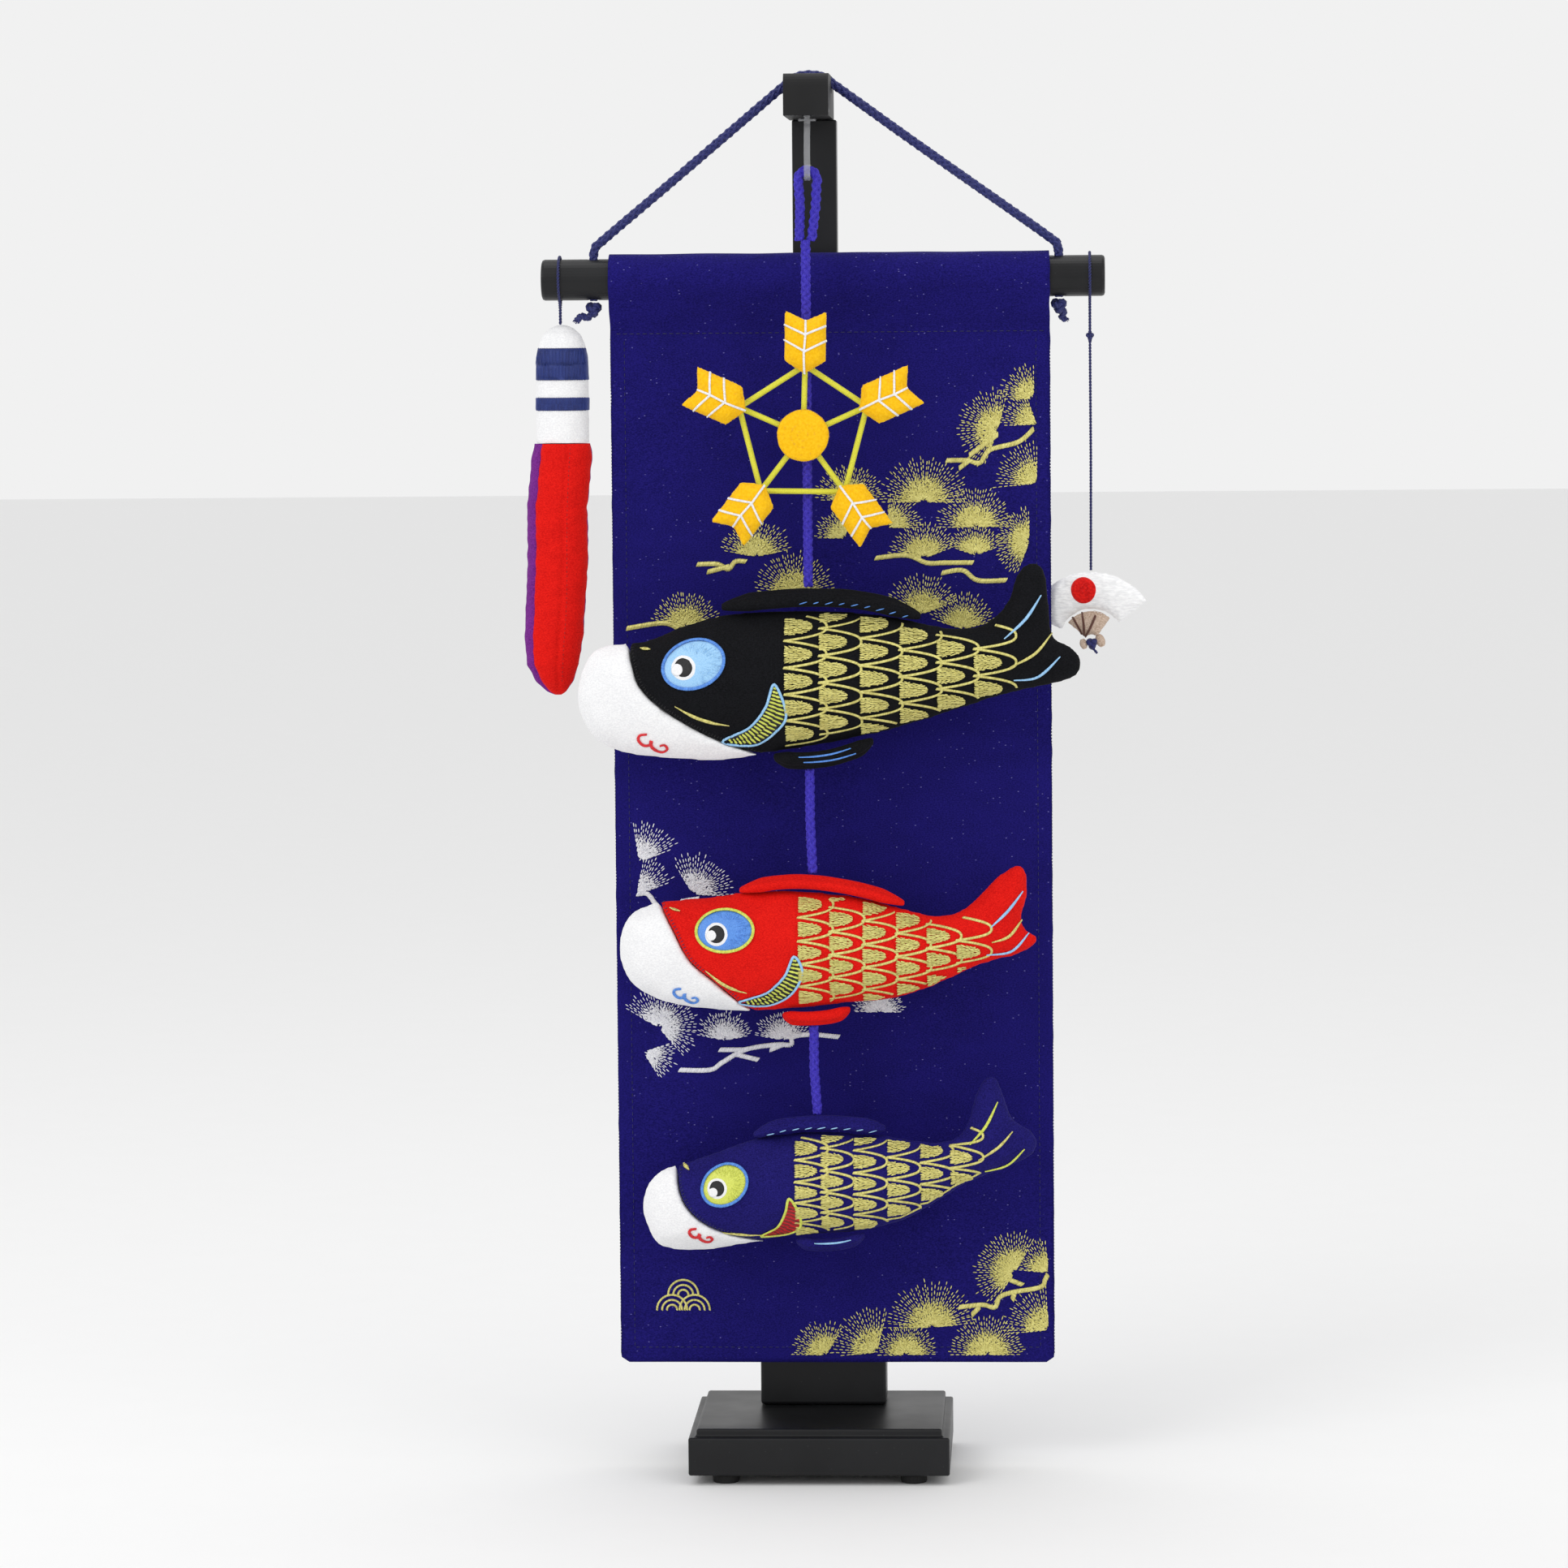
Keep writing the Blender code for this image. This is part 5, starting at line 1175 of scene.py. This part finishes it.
def makeFins(name, carp, rng):
    # rolled cloth along the back and the belly, of three soft folds
    y, lobe = carpSkill["stringY"], carpSkill["finLobe"] * carp["length"] / (180 * mm)
    for node, key, way in (("dorsal_fin", "finTop", 1), ("belly_fin", "finLow", -1)):
        line = respaced(upright(lineOn(carp, carp[key])), 1.0 * mm)
        last, shape = len(line) - 1, newShape()
        for fold, (up, out) in enumerate(((0.1, -4.2), (1.45, -2.2), (0.9, 1.0))):
            route, sizes = [], []
            for k, p in enumerate(line):
                end = min(k, last - k) / last
                full = min(1.0, (end / 0.16 + 0.12)) ** 0.5
                bow = 1 + 0.06 * noise.noise(Vector((p.x / (9 * mm), fold, p.z / (9 * mm))))
                route.append(Vector((p.x, y + out * full * mm * carp["length"] / (180 * mm),
                                     p.z + way * up * mm * full)))
                sizes.append(lobe * full * bow * (1.32 if key == "finTop" else 1.05))
            addTube(shape, route, sizes, 14)
        helper = makeObject(name + node, shape, [carp["skin"]])
        remesh = helper.modifiers.new("cells", "REMESH")
        remesh.mode, remesh.voxel_size = "VOXEL", 0.5 * mm
        smooth = helper.modifiers.new("smooth", "SMOOTH")
        smooth.factor, smooth.iterations = 0.5, 2
        made = dress(bakedMesh(helper, name + ("DorsalFin" if way > 0 else "BellyFin")), carp["skin"])
        low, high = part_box(name + "_" + node)  # as tall as its solid, so that the cord runs into it
        heights = [v.co.z for v in made.data.vertices]
        least, tall = min(heights), max(heights) - min(heights)
        for v in made.data.vertices:
            v.co.z = low.z + (v.co.z - least) * (high.z - low.z) / tall
        for p in line:
            p.z = low.z + (p.z - least) * (high.z - low.z) / tall
        made.data.shade_smooth()
        settle(made, name + "_carp", name + "_skin", name + "_" + node)
        if carp["finStitch"]:
            tree, stitches = treeOf(made), []
            share = carp["finRun"] if way > 0 else (0, 0)
            run = line[int(share[0] * last): int(share[1] * last)]
            for k in range(0, len(run), 5):
                place = onFront(tree, run[k].x, run[k].z - way * carpSkill["finStitchDrop"])
                if place:
                    hit, up = place
                    slant = Vector((1, 0, 0.35 * way))
                    slant = (slant - up * slant.dot(up)).normalized()
                    size = (rng.uniform(2.4, 3.8) * mm, 0.5 * mm, 0.4 * mm)
                    stitches.append((hit + up * 0.12 * mm, slant, up, size, rng.random()))
            if way < 0:
                foot = [p for p in line if 0.25 < (p.x - line[0].x) / (line[-1].x - line[0].x) < 0.8]
                for drop in carp["strands"]:
                    strand = [(p.x + drop * mm, p.z + (0.5 - drop) * mm) for p in foot]
                    stitches += rope(rng, tree, strand, 0.8 * mm, 60, 0.2 * mm, 0.4 * mm, 0.5)
            if stitches:
                label = name + ("DorsalStitches" if way > 0 else "BellyStitches")
                settle(sewn(label, stitches, carp["finStitch"]), name + "_carp", name + "_skin")


def makeLines(name, carp, tree, faceTree, rng):
    body = name + "_carp"
    gold = rope(rng, tree, lineOn(carp, carp["nostril"]), 1.7 * mm, 70, 0.3 * mm, 0.42 * mm, 0.7)
    gold += rope(rng, tree, lineOn(carp, carp["cheekLine"]), 1.5 * mm, 65, 0.3 * mm, 0.42 * mm, 0.8)
    for look in sorted({look for look, _ in carp["tailLines"]} | {"gold"}):
        stitches = list(gold) if look == "gold" else []
        for lineLook, line in carp["tailLines"]:
            if lineLook == look:
                stitches += rope(rng, tree, lineOn(carp, line), 1.25 * mm, 65, 0.3 * mm, 0.42 * mm, 0.6)
        settle(sewn(name + "Lines" + look[0].upper() + look[1:], stitches, look), body, "yellow_wire")
    x, z = placeOn(carp, *carp["mouth"])
    curl, size = carpSkill["mouthCurl"], mm * carp["length"] / (197 * mm)
    line = [p.xz for p in spline([(x + a * size, 0, z + b * size) for a, b in curl], 6)]
    mouth = rope(rng, faceTree, line, 1.6 * mm, 68, 0.3 * mm, 0.4 * mm, 0.35)
    settle(sewn(name + "Mouth", mouth, carp["mouthLook"]), body, "red_felt")
    seam = []
    flat = respaced(upright(lineOn(carp, carp["cheek"])), 1.25 * mm)
    for k in range(1, len(flat) - 1):  # small dark stitches over the cheek seam
        place = onFront(tree, flat[k].x + 0.8 * mm, flat[k].z + 0.5 * mm)
        if place:
            hit, up = place
            way = flat[k + 1] - flat[k - 1]
            across = Vector((way.z, 0, -way.x)).normalized()
            across = (across - up * across.dot(up)).normalized()
            seam.append((hit - across * 0.5 * mm + up * 0.08 * mm, across, up, (1.5 * mm, 0.3 * mm, 0.3 * mm),
                         rng.random()))
    settle(sewn(name + "CheekSeam", seam, "navyThread" if name != "black" else "blackThread"), body,
           name + "_skin")


def makeCarp(name, carp):
    rng = random.Random(name)
    pieces = {}
    for node, look in ((name + "_body", carp["skin"]), (name + "_face", "white")):
        made = stuffedMesh(name + node[len(name) + 1:].title(), [node], carpSkill["cell"],
                           carpSkill["smoothing"],
                           carpSkill["cap"], carpSkill["wrinkle"])
        dress(made, look)
        settle(made, name + "_carp", name + "_skin" if look != "white" else "white_crepe", node)
        pieces[node] = made
    tree, faceTree = treeOf(pieces[name + "_body"]), treeOf(pieces[name + "_face"])
    makeScales(name, carp, tree, rng)
    makeEye(name, carp, tree, rng)
    makeGill(name, carp, tree, rng)
    makeFins(name, carp, rng)
    makeLines(name, carp, tree, faceTree, rng)
    print(name, "carp made")


for carpName, carpFacts in carps.items():
    makeCarp(carpName, carpFacts)


# Arrow wheel

wheel = {
    "centre": (-10.7 * mm, 408.9 * mm), "angles": (88, 24, -54, 232, 156), "planeY": -31.6 * mm,
    "wire": 1.15 * mm, "winding": 0.42 * mm, "rim": 27 * mm, "hub": 10 * mm, "hubBack": -33.1 * mm,
    "hubThick": 3 * mm, "arrowAt": 36 * mm, "cell": 0.75 * mm, "fuzz": 260,
    "spine": [(-12.0, 0.0), (-4.0, 0.3), (3.0, -0.2), (8.0, 0.0)],
    "barbs": [(-3.6, 0.6), (2.8, 6.4)], "barbReach": 7.9, "piping": 0.95 * mm,
}


def windWire(shape, start, end):
    route = respaced([start, end], wheel["winding"] / 4)
    sizes = [wheel["wire"] * (1 - 0.09 * (1 - abs(math.sin(math.pi * k / 4)))) for k in range(len(route))]
    addTube(shape, route, sizes, 10)


def feltFuzz(name, obj, count, body, look, slotName, seed):
    # stray fibres standing on felt
    rng, found = random.Random(seed), []
    polygons = obj.data.polygons
    for _ in range(count):
        face = polygons[rng.randrange(len(polygons))]
        up = face.normal.normalized()
        way = Vector((rng.uniform(-1, 1), rng.uniform(-1, 1), rng.uniform(-1, 1)))
        way = (way - up * way.dot(up) * 0.7).normalized()
        side = way.cross(Vector((0.3, 0.5, 0.8))).normalized()
        found.append((face.center + up * 0.12 * mm, way, side,
                      (rng.uniform(0.7, 1.7) * mm, 0.07 * mm, 0.07 * mm),
                      rng.random()))
    return settle(sewn(name, found, look, 3, 3), body, slotName)


def makeWheel():
    centre = Vector((wheel["centre"][0], wheel["planeY"], wheel["centre"][1]))
    ways = [Vector((math.cos(math.radians(a)), 0, math.sin(math.radians(a)))) for a in wheel["angles"]]
    ordered = sorted(ways, key=lambda w: math.atan2(w.z, w.x))
    frameShape = newShape()
    for way, following in zip(ordered, ordered[1:] + ordered[:1]):
        windWire(frameShape, centre, centre + way * wheel["rim"])
        windWire(frameShape, centre + way * wheel["rim"], centre + following * wheel["rim"])
    settle(makeObject("wheelFrame", frameShape, ["wire"], shade=0.6), "wheel", "yellow_wire", "wheel_frame")

    hubShape, turns = newShape(), 72
    r, back, thick = wheel["hub"], wheel["hubBack"], wheel["hubThick"]
    profile = [(0, -thick), (0.3, -thick), (0.62, -thick), (0.88, -thick * 0.985), (0.96, -thick * 0.9),
               (0.995, -thick * 0.74), (1.0, -thick * 0.5), (0.995, -thick * 0.22), (0.95, 0), (0.5, 0),
               (0, 0)]
    points = [centre + Vector((0, back - centre.y + profile[0][1], 0)),
              centre + Vector((0, back - centre.y, 0))]
    for share, depth in profile[1:-1]:
        for k in range(turns):
            a = 2 * math.pi * k / turns
            wave = 1 + 0.007 * math.sin(5 * a + 1) + 0.004 * math.sin(11 * a)
            points.append(centre + Vector((r * share * wave * math.cos(a), back - centre.y + depth,
                                           r * share * wave * math.sin(a))))
    faces, rows = [], len(profile) - 2
    for k in range(turns):
        n = (k + 1) % turns
        faces.append((0, 2 + n, 2 + k))
        for row in range(rows - 1):
            a = 2 + row * turns
            faces.append((a + k, a + n, a + turns + n, a + turns + k))
        faces.append((1, 2 + (rows - 1) * turns + k, 2 + (rows - 1) * turns + n))
    addFaces(hubShape, points, faces)
    hub = settle(makeObject("wheelHub", hubShape, ["felt"]), "wheel", "yellow_felt", "wheel_hub")
    feltFuzz("wheelHubFuzz", hub, wheel["fuzz"], "wheel", "feltFibre", "yellow_felt", 3)

    rng, piping = random.Random(8), []
    for number, way in enumerate(ways, 1):
        node = f"wheel_arrow_{number}"
        arrow = dress(stuffedMesh(f"wheelArrow{number}", [node], wheel["cell"], 5, 0.25 * mm, 0.09 * mm),
                      "felt")
        settle(arrow, "wheel", "yellow_felt", node)
        feltFuzz(f"wheelArrowFuzz{number}", arrow, wheel["fuzz"], "wheel", "feltFibre", "yellow_felt", number)
        tree, side = treeOf(arrow), Vector((-way.z, 0, way.x))
        middle = centre + way * wheel["arrowAt"]
        lines = [wheel["spine"]]
        for start, end in wheel["barbs"]:
            lines += [[(start, 0), (end, wheel["barbReach"])], [(start, 0), (end, -wheel["barbReach"])]]
        for line in lines:
            flat = [(middle + way * u * mm + side * v * mm).xz for u, v in line]
            piping += rope(rng, tree, flat, wheel["piping"], 62, 0.28 * mm, 0.36 * mm)
    settle(sewn("arrowPiping", piping, "whiteThread"), "wheel", "white_crepe")
    print("arrow wheel made")


makeWheel()


# Streamer

streamer = {
    "x": -106.9 * mm, "top": 452 * mm, "seam": 406 * mm, "tip": 307 * mm, "half": 12 * mm, "flat": 0.68,
    "wall": 0.14, "gap": 0.3 * mm,
    "head": [(0, 0.12), (0.02, 0.35), (0.08, 0.62), (0.17, 0.76), (0.27, 0.83), (0.6, 0.86), (1, 0.86)],
    "bands": [(442.9 * mm, 430.7 * mm), (423.6 * mm, 418.8 * mm)],
    "body": [(0, 0.3, 0.92), (0.05, 0.1, 1), (0.25, -2.0, 0.99), (0.45, -2.0, 1), (0.62, -3.0, 0.98),
             (0.78, -4.0, 0.96), (0.88, -4.5, 0.86), (0.95, -3.8, 0.6), (0.99, -3.0, 0.3), (1, -2.6, 0.12)],
    "seams": (225, 284, 360, 60, 140), "pucker": 0.55 * mm,
}


def streamerPoint(x, halfWidth, degrees, z, grow=0.0):
    a = math.radians(degrees)
    return Vector((x + (halfWidth + grow) * math.cos(a),
                   (streamer["flat"] * halfWidth + grow) * math.sin(a), z))


def evened(table, share):
    # the table's values at this share of the height, drawn through smoothly
    return np.array([np.interp(share, [row[0] for row in table], [row[k] for row in table])
                     for k in range(1, len(table[0]))])


def makeStreamerHead():
    shape, turns = newShape(), 96
    tall = streamer["top"] - streamer["seam"]
    edges = sorted([z for band in streamer["bands"] for z in band], reverse=True)
    levels = sorted({round(streamer["top"] - tall * k / 80, 7) for k in range(81)}
                    | {round(z + d, 7) for z in edges for d in (-0.12 * mm, 0.12 * mm)}, reverse=True)
    points = []
    for z in levels:
        half = float(evened(streamer["head"], (streamer["top"] - z) / tall)[0]) * streamer["half"]
        inBand = any(low < z < high for high, low in streamer["bands"])
        bow = 0.3 * mm * math.sin(math.pi * min(1, (streamer["top"] - z) / (tall * 0.5)) / 2) if inBand else 0
        for k in range(turns):
            a = 360 * k / turns
            p = streamerPoint(streamer["x"] + 0.5 * mm, half, a, z, bow)
            n = noise.noise(p / (3.5 * mm)) * 0.16 * mm + noise.noise(p / (1.3 * mm)) * 0.05 * mm
            points.append(p + Vector((math.cos(math.radians(a)), math.sin(math.radians(a)), 0)) * n)
    rows = len(levels)
    points += [Vector((streamer["x"] + 0.5 * mm, 0, levels[0])),
               Vector((streamer["x"] + 0.5 * mm, 0, levels[-1]))]
    for row in range(rows - 1):
        middle = (levels[row] + levels[row + 1]) / 2
        look = 1 if any(low - 0.05 * mm < middle < high + 0.05 * mm for high, low in streamer["bands"]) else 0
        shape["faces"] += [(row * turns + k, row * turns + (k + 1) % turns,
                            (row + 1) * turns + (k + 1) % turns,
                            (row + 1) * turns + k) for k in range(turns)]
        shape["looks"] += [look] * turns
    for k in range(turns):
        shape["faces"] += [(rows * turns, (k + 1) % turns, k),
                           (rows * turns + 1, (rows - 1) * turns + k, (rows - 1) * turns + (k + 1) % turns)]
        shape["looks"] += [0, 0]
    shape["points"] = [tuple(p) for p in points]
    head = makeObject("streamerHead", shape, ["white", "satinBlue"], shade=0.5)
    settle(head, "streamer", "white_crepe", "streamer_head")
    return head


def makePanels(name, node, start, end, way, look, slotName):
    shape, turns = newShape(), max(8, round((end - start) / 2.6))
    low = streamer["seam"] - streamer["gap"]
    tall = low - streamer["tip"]
    levels = [k / 150 for k in range(151)]
    rings = []
    for share in levels:
        shift, width = evened(streamer["body"], share)
        x, half, z = -106.9 * mm + shift * mm, width * streamer["half"], low - share * tall
        outer, inner = [], []
        for k in range(turns + 1):
            a = start + (end - start) * k / turns
            gap = min(abs((a - seam + 180) % 360 - 180) for seam in streamer["seams"])
            nearest = gap * math.radians(1) * half
            dent = -streamer["pucker"] * math.exp(-(nearest / (1.1 * mm)) ** 2)
            p = streamerPoint(x, half, a, z, dent * min(1, half / (6 * mm)))
            folds = noise.noise(Vector((p.x, p.y, p.z * 1.6)) / (6 * mm)) * 0.4 * mm
            folds += noise.noise(p / (2.4 * mm)) * 0.12 * mm * (1 + 1.5 * math.exp(-nearest / (1.5 * mm)))
            out = Vector((math.cos(math.radians(a)), math.sin(math.radians(a)), 0))
            outer.append(p + out * folds * min(1, half / (9 * mm)))
            inner.append(streamerPoint(x, half * (1 - streamer["wall"]), a, z))
        rings.append([p + Vector((0, way * streamer["gap"] / 2, 0)) for p in outer + inner[::-1]])
    count, points, faces = len(rings[0]), [p for ring in rings for p in ring], []
    for row in range(len(rings) - 1):
        a, b = row * count, (row + 1) * count
        faces += [(a + k, a + (k + 1) % count, b + (k + 1) % count, b + k) for k in range(count)]
    for base in (0, (len(rings) - 1) * count):
        faces += [(base + k, base + k + 1, base + count - 2 - k, base + count - 1 - k) for k in range(turns)]
    addFaces(shape, points, faces)
    panels = makeObject(name, shape, [look])
    settle(panels, "streamer", slotName, node)
    return panels


def makeStreamer():
    head, rng = makeStreamerHead(), random.Random(5)
    red = makePanels("streamerFrontPanels", "streamer_front_panels", 225, 360, -1, "red", "red_crepe")
    makePanels("streamerBackPanels", "streamer_back_panels", 0, 225, 1, "purple", "purple_crepe")
    tree, stitches, x = treeOf(head), [], streamer["x"] + 0.5 * mm
    for high, low in streamer["bands"]:
        for z in (high, low):
            stitches += runStitch(rng, tree, [(x - 9.6 * mm, z), (x + 9.6 * mm, z)], 0.75 * mm, 0.9 * mm,
                                  0.22 * mm)
    satin = []
    for high, low in streamer["bands"]:
        step = 0.42 * mm
        for k in range(int(19.6 * mm / step)):
            px = x - 9.8 * mm + k * step
            for part in range(2):
                z = low + (high - low) * (0.27 + 0.46 * part) + rng.uniform(-0.3, 0.3) * mm
                place = onFront(tree, px, z)
                if place:
                    hit, up = place
                    flat = (Vector((0, 0, 1)) - up * up.z).normalized()
                    satin.append((hit + up * 0.06 * mm, flat, up, ((high - low) * 0.58, 0.5 * mm, 0.26 * mm),
                                  rng.random()))
    settle(sewn("streamerSatin", satin, "satinBlue", 5, 3), "streamer", "blue_skin")
    settle(sewn("streamerBandStitches", stitches, "navyThread"), "streamer", "blue_skin")
    tree = treeOf(red)
    seam = [(-103.0, 404.5), (-103.6, 396), (-104.6, 376), (-105.1, 345), (-106.6, 325), (-107.5, 312)]
    line = [p.xz for p in spline([(a * mm, 0, b * mm) for a, b in seam], 8)]
    settle(sewn("streamerSeam", runStitch(rng, tree, line, 1.0 * mm, 1.7 * mm, 0.22 * mm, 0.02 * mm),
                "darkRed"),
           "streamer", "red_crepe")
    print("streamer made")


makeStreamer()


# Fan: its own flat is turned about its thread, so each place on it goes through onFan()

fan = {
    "turn": -18, "threadX": 100.2 * mm, "pivot": (100.6 * mm, 326 * mm), "frontY": -2.8 * mm,
    "cell": 0.7 * mm,
    "disc": (-2.6, 20.9), "discRadius": 5.1, "ribs": [(-7.3, 10.6), (-3.1, 11.9), (2.3, 10.9)],
    "ribFoot": (-2.4, 1.8),
    "lobes": [((3.6, 2.6), (5.0, -0.6), 1.9), ((-3.0, 1.0), (-2.2, -1.6), 1.5)],
    "tail": [(0.6, -1.2), (1.7, -2.4), (2.9, -3.8)],
}


def onFan(u, v):
    a = math.radians(fan["turn"])
    x = fan["pivot"][0] - fan["threadX"] + u * mm
    return fan["threadX"] + x * math.cos(a) - fan["frontY"] * math.sin(a), fan["pivot"][1] + v * mm


def makeFan():
    rng = random.Random(4)
    leaf = dress(stuffedMesh("fanLeaf", ["fan_leaf"], fan["cell"], 5, 0.3 * mm, 0.24 * mm), "fanCrepe")
    handle = dress(stuffedMesh("fanHandle", ["fan_handle"], fan["cell"] * 0.8, 4, 0.2 * mm, 0.12 * mm), "tan")
    settle(leaf, "fan", "white_crepe", "fan_leaf")
    settle(handle, "fan", "tan_crepe", "fan_handle")
    disc, tree = newShape(), treeOf(leaf)
    centre = onFan(*fan["disc"])
    turns = [2 * math.pi * k / 40 for k in range(40)]
    outline = [onFan(fan["disc"][0] + fan["discRadius"] * math.cos(a) * (1 + 0.02 * math.sin(3 * a)),
                     fan["disc"][1] + fan["discRadius"] * math.sin(a)) for a in turns]
    addPatch(disc, tree, centre, outline, 0.55 * mm, 0, 7)
    spot = settle(makeObject("fanDisc", disc, ["redFelt"]), "fan", "red_felt", "fan_disc")
    feltFuzz("fanDiscFuzz", spot, 110, "fan", "redThread", "red_felt", 12)
    both, ribs = treeOf(leaf, handle), []
    for end in fan["ribs"]:
        bend = ((end[0] + fan["ribFoot"][0]) / 2 + 0.3, (end[1] + fan["ribFoot"][1]) / 2)
        line = [p.xz for p in spline([(x, 0, z) for x, z in (onFan(*p) for p in (fan["ribFoot"], bend,
                                                                                 end))], 8)]
        ribs += rope(rng, both, line, 1.0 * mm, 62, 0.22 * mm, 0.36 * mm)
    settle(sewn("fanRibs", ribs, "brownThread"), "fan", "tan_crepe")
    gathers = []
    for side in (-1, 1):  # the seam where the leaf meets the handle
        line = [onFan(13.2 * math.cos(math.radians(a)), 13.2 * math.sin(math.radians(a))) for a in
                ((60, 96) if side < 0 else (98, 134))]
        gathers += runStitch(rng, both, line, 0.8 * mm, 1.2 * mm, 0.25 * mm, 0.05 * mm)
    settle(sewn("fanSeam", gathers, "whiteThread"), "fan", "white_crepe")

    low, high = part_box("fan_pivot_knot")
    middle = (low + high) / 2
    lobes = newShape()
    for start, end, size in fan["lobes"]:
        a, b = (Vector((onFan(*p)[0], middle.y + 0.4 * mm, onFan(*p)[1])) for p in (start, end))
        route = respaced([a.lerp(b, -0.25), a, b, a.lerp(b, 1.2)], 0.5 * mm)
        last = len(route) - 1
        sizes = [size * mm * math.sin(math.pi * (k + 0.7) / (last + 1.4)) ** 0.5 for k in range(last + 1)]
        addTube(lobes, route, sizes, 12)
    settle(makeObject("fanLobes", lobes, ["tan"]), "fan", "tan_crepe")
    knot = newShape()
    turns = [2 * math.pi * k / 40 for k in range(41)]
    ring = [middle + 0.62 * mm * Vector((math.sin(a) + 1.6 * math.sin(2 * a), 1.5 * math.sin(3 * a),
                                         math.cos(a) - 1.6 * math.cos(2 * a))) for a in turns]
    addTube(knot, ring, 0.95 * mm, 9)
    tail = [(onFan(*p)[0], middle.y - 0.8 * mm, onFan(*p)[1]) for p in fan["tail"]]
    addTwist(knot, respaced(spline(tail, 6), 0.4 * mm), 0.6 * mm, 2, 2.2 * mm, 6, spacing=0.4 * mm)
    settle(makeObject("fanPivotKnot", knot, ["navyCord"], shade=0.3), "fan", "navy_cord", "fan_pivot_knot")
    print("fan made")


makeFan()


# Stand: the pieces that keep their own solid get their materials here

standLooks = {
    "lacquer": ["base_board", "lower_column", "upper_post", "crossbar"],
    "plastic": ["hook_block"],
    "rubber": ["foot_front_left", "foot_front_right", "foot_rear_left", "foot_rear_right"],
    "steel": ["column_screw_left", "column_screw_right", "block_screw", "hanger_pin"],
    "clear": ["hook_hanger"],
}
for lookName, nodes in standLooks.items():
    for nodeName in nodes:
        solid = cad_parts[nodeName].data
        solid.materials.clear()
        solid.materials.append(looks[lookName])
print("stand materials set")


# Floor, world and lights

studio = {
    "floor": 12.0, "paper": (0.88, 0.88, 0.88), "world": 0.88,
    "lights": {"keyLight": ((-1.1, -1.4, 1.6), 1.0, 9.5), "fillLight": ((1.4, -1.5, 0.8), 1.3, 3.5),
               "topLight": ((0, 0.1, 1.9), 1.0, 4)},
}


def makeStudio():
    shape, reach = newShape(), studio["floor"]
    addFaces(shape, [(-reach, -reach, 0), (reach, -reach, 0), (reach, reach, 0), (-reach, reach, 0)],
             [(0, 1, 2, 3)])
    look, tree, shader = startLook("floorPaper", 0.9)
    grain = noiseOn(tree, stretched(tree, (1, 1, 1)), 40)
    tree.links.new(mixOf(tree, grain, [c * 0.985 for c in studio["paper"]], studio["paper"]),
                   shader.inputs["Base Color"])
    looks["floor"] = look
    makeObject("floor", shape, ["floor"], smooth=False)
    world = bpy.data.worlds.new("studio")
    world.use_nodes = True
    background = world.node_tree.nodes["Background"]
    background.inputs["Color"].default_value = (1, 1, 1, 1)
    background.inputs["Strength"].default_value = studio["world"]
    scene.world = world
    for name, (place, size, power) in studio["lights"].items():
        data = bpy.data.lights.new(name, "AREA")
        data.size, data.energy = size, power
        light = bpy.data.objects.new(name, data)
        scene.collection.objects.link(light)
        light.location = place
        light.rotation_euler = (Vector((0, 0, 0.28)) - Vector(place)).to_track_quat("-Z", "Y").to_euler()
    scene.view_settings.view_transform = "Standard"


makeStudio()
print("floor and lights set")
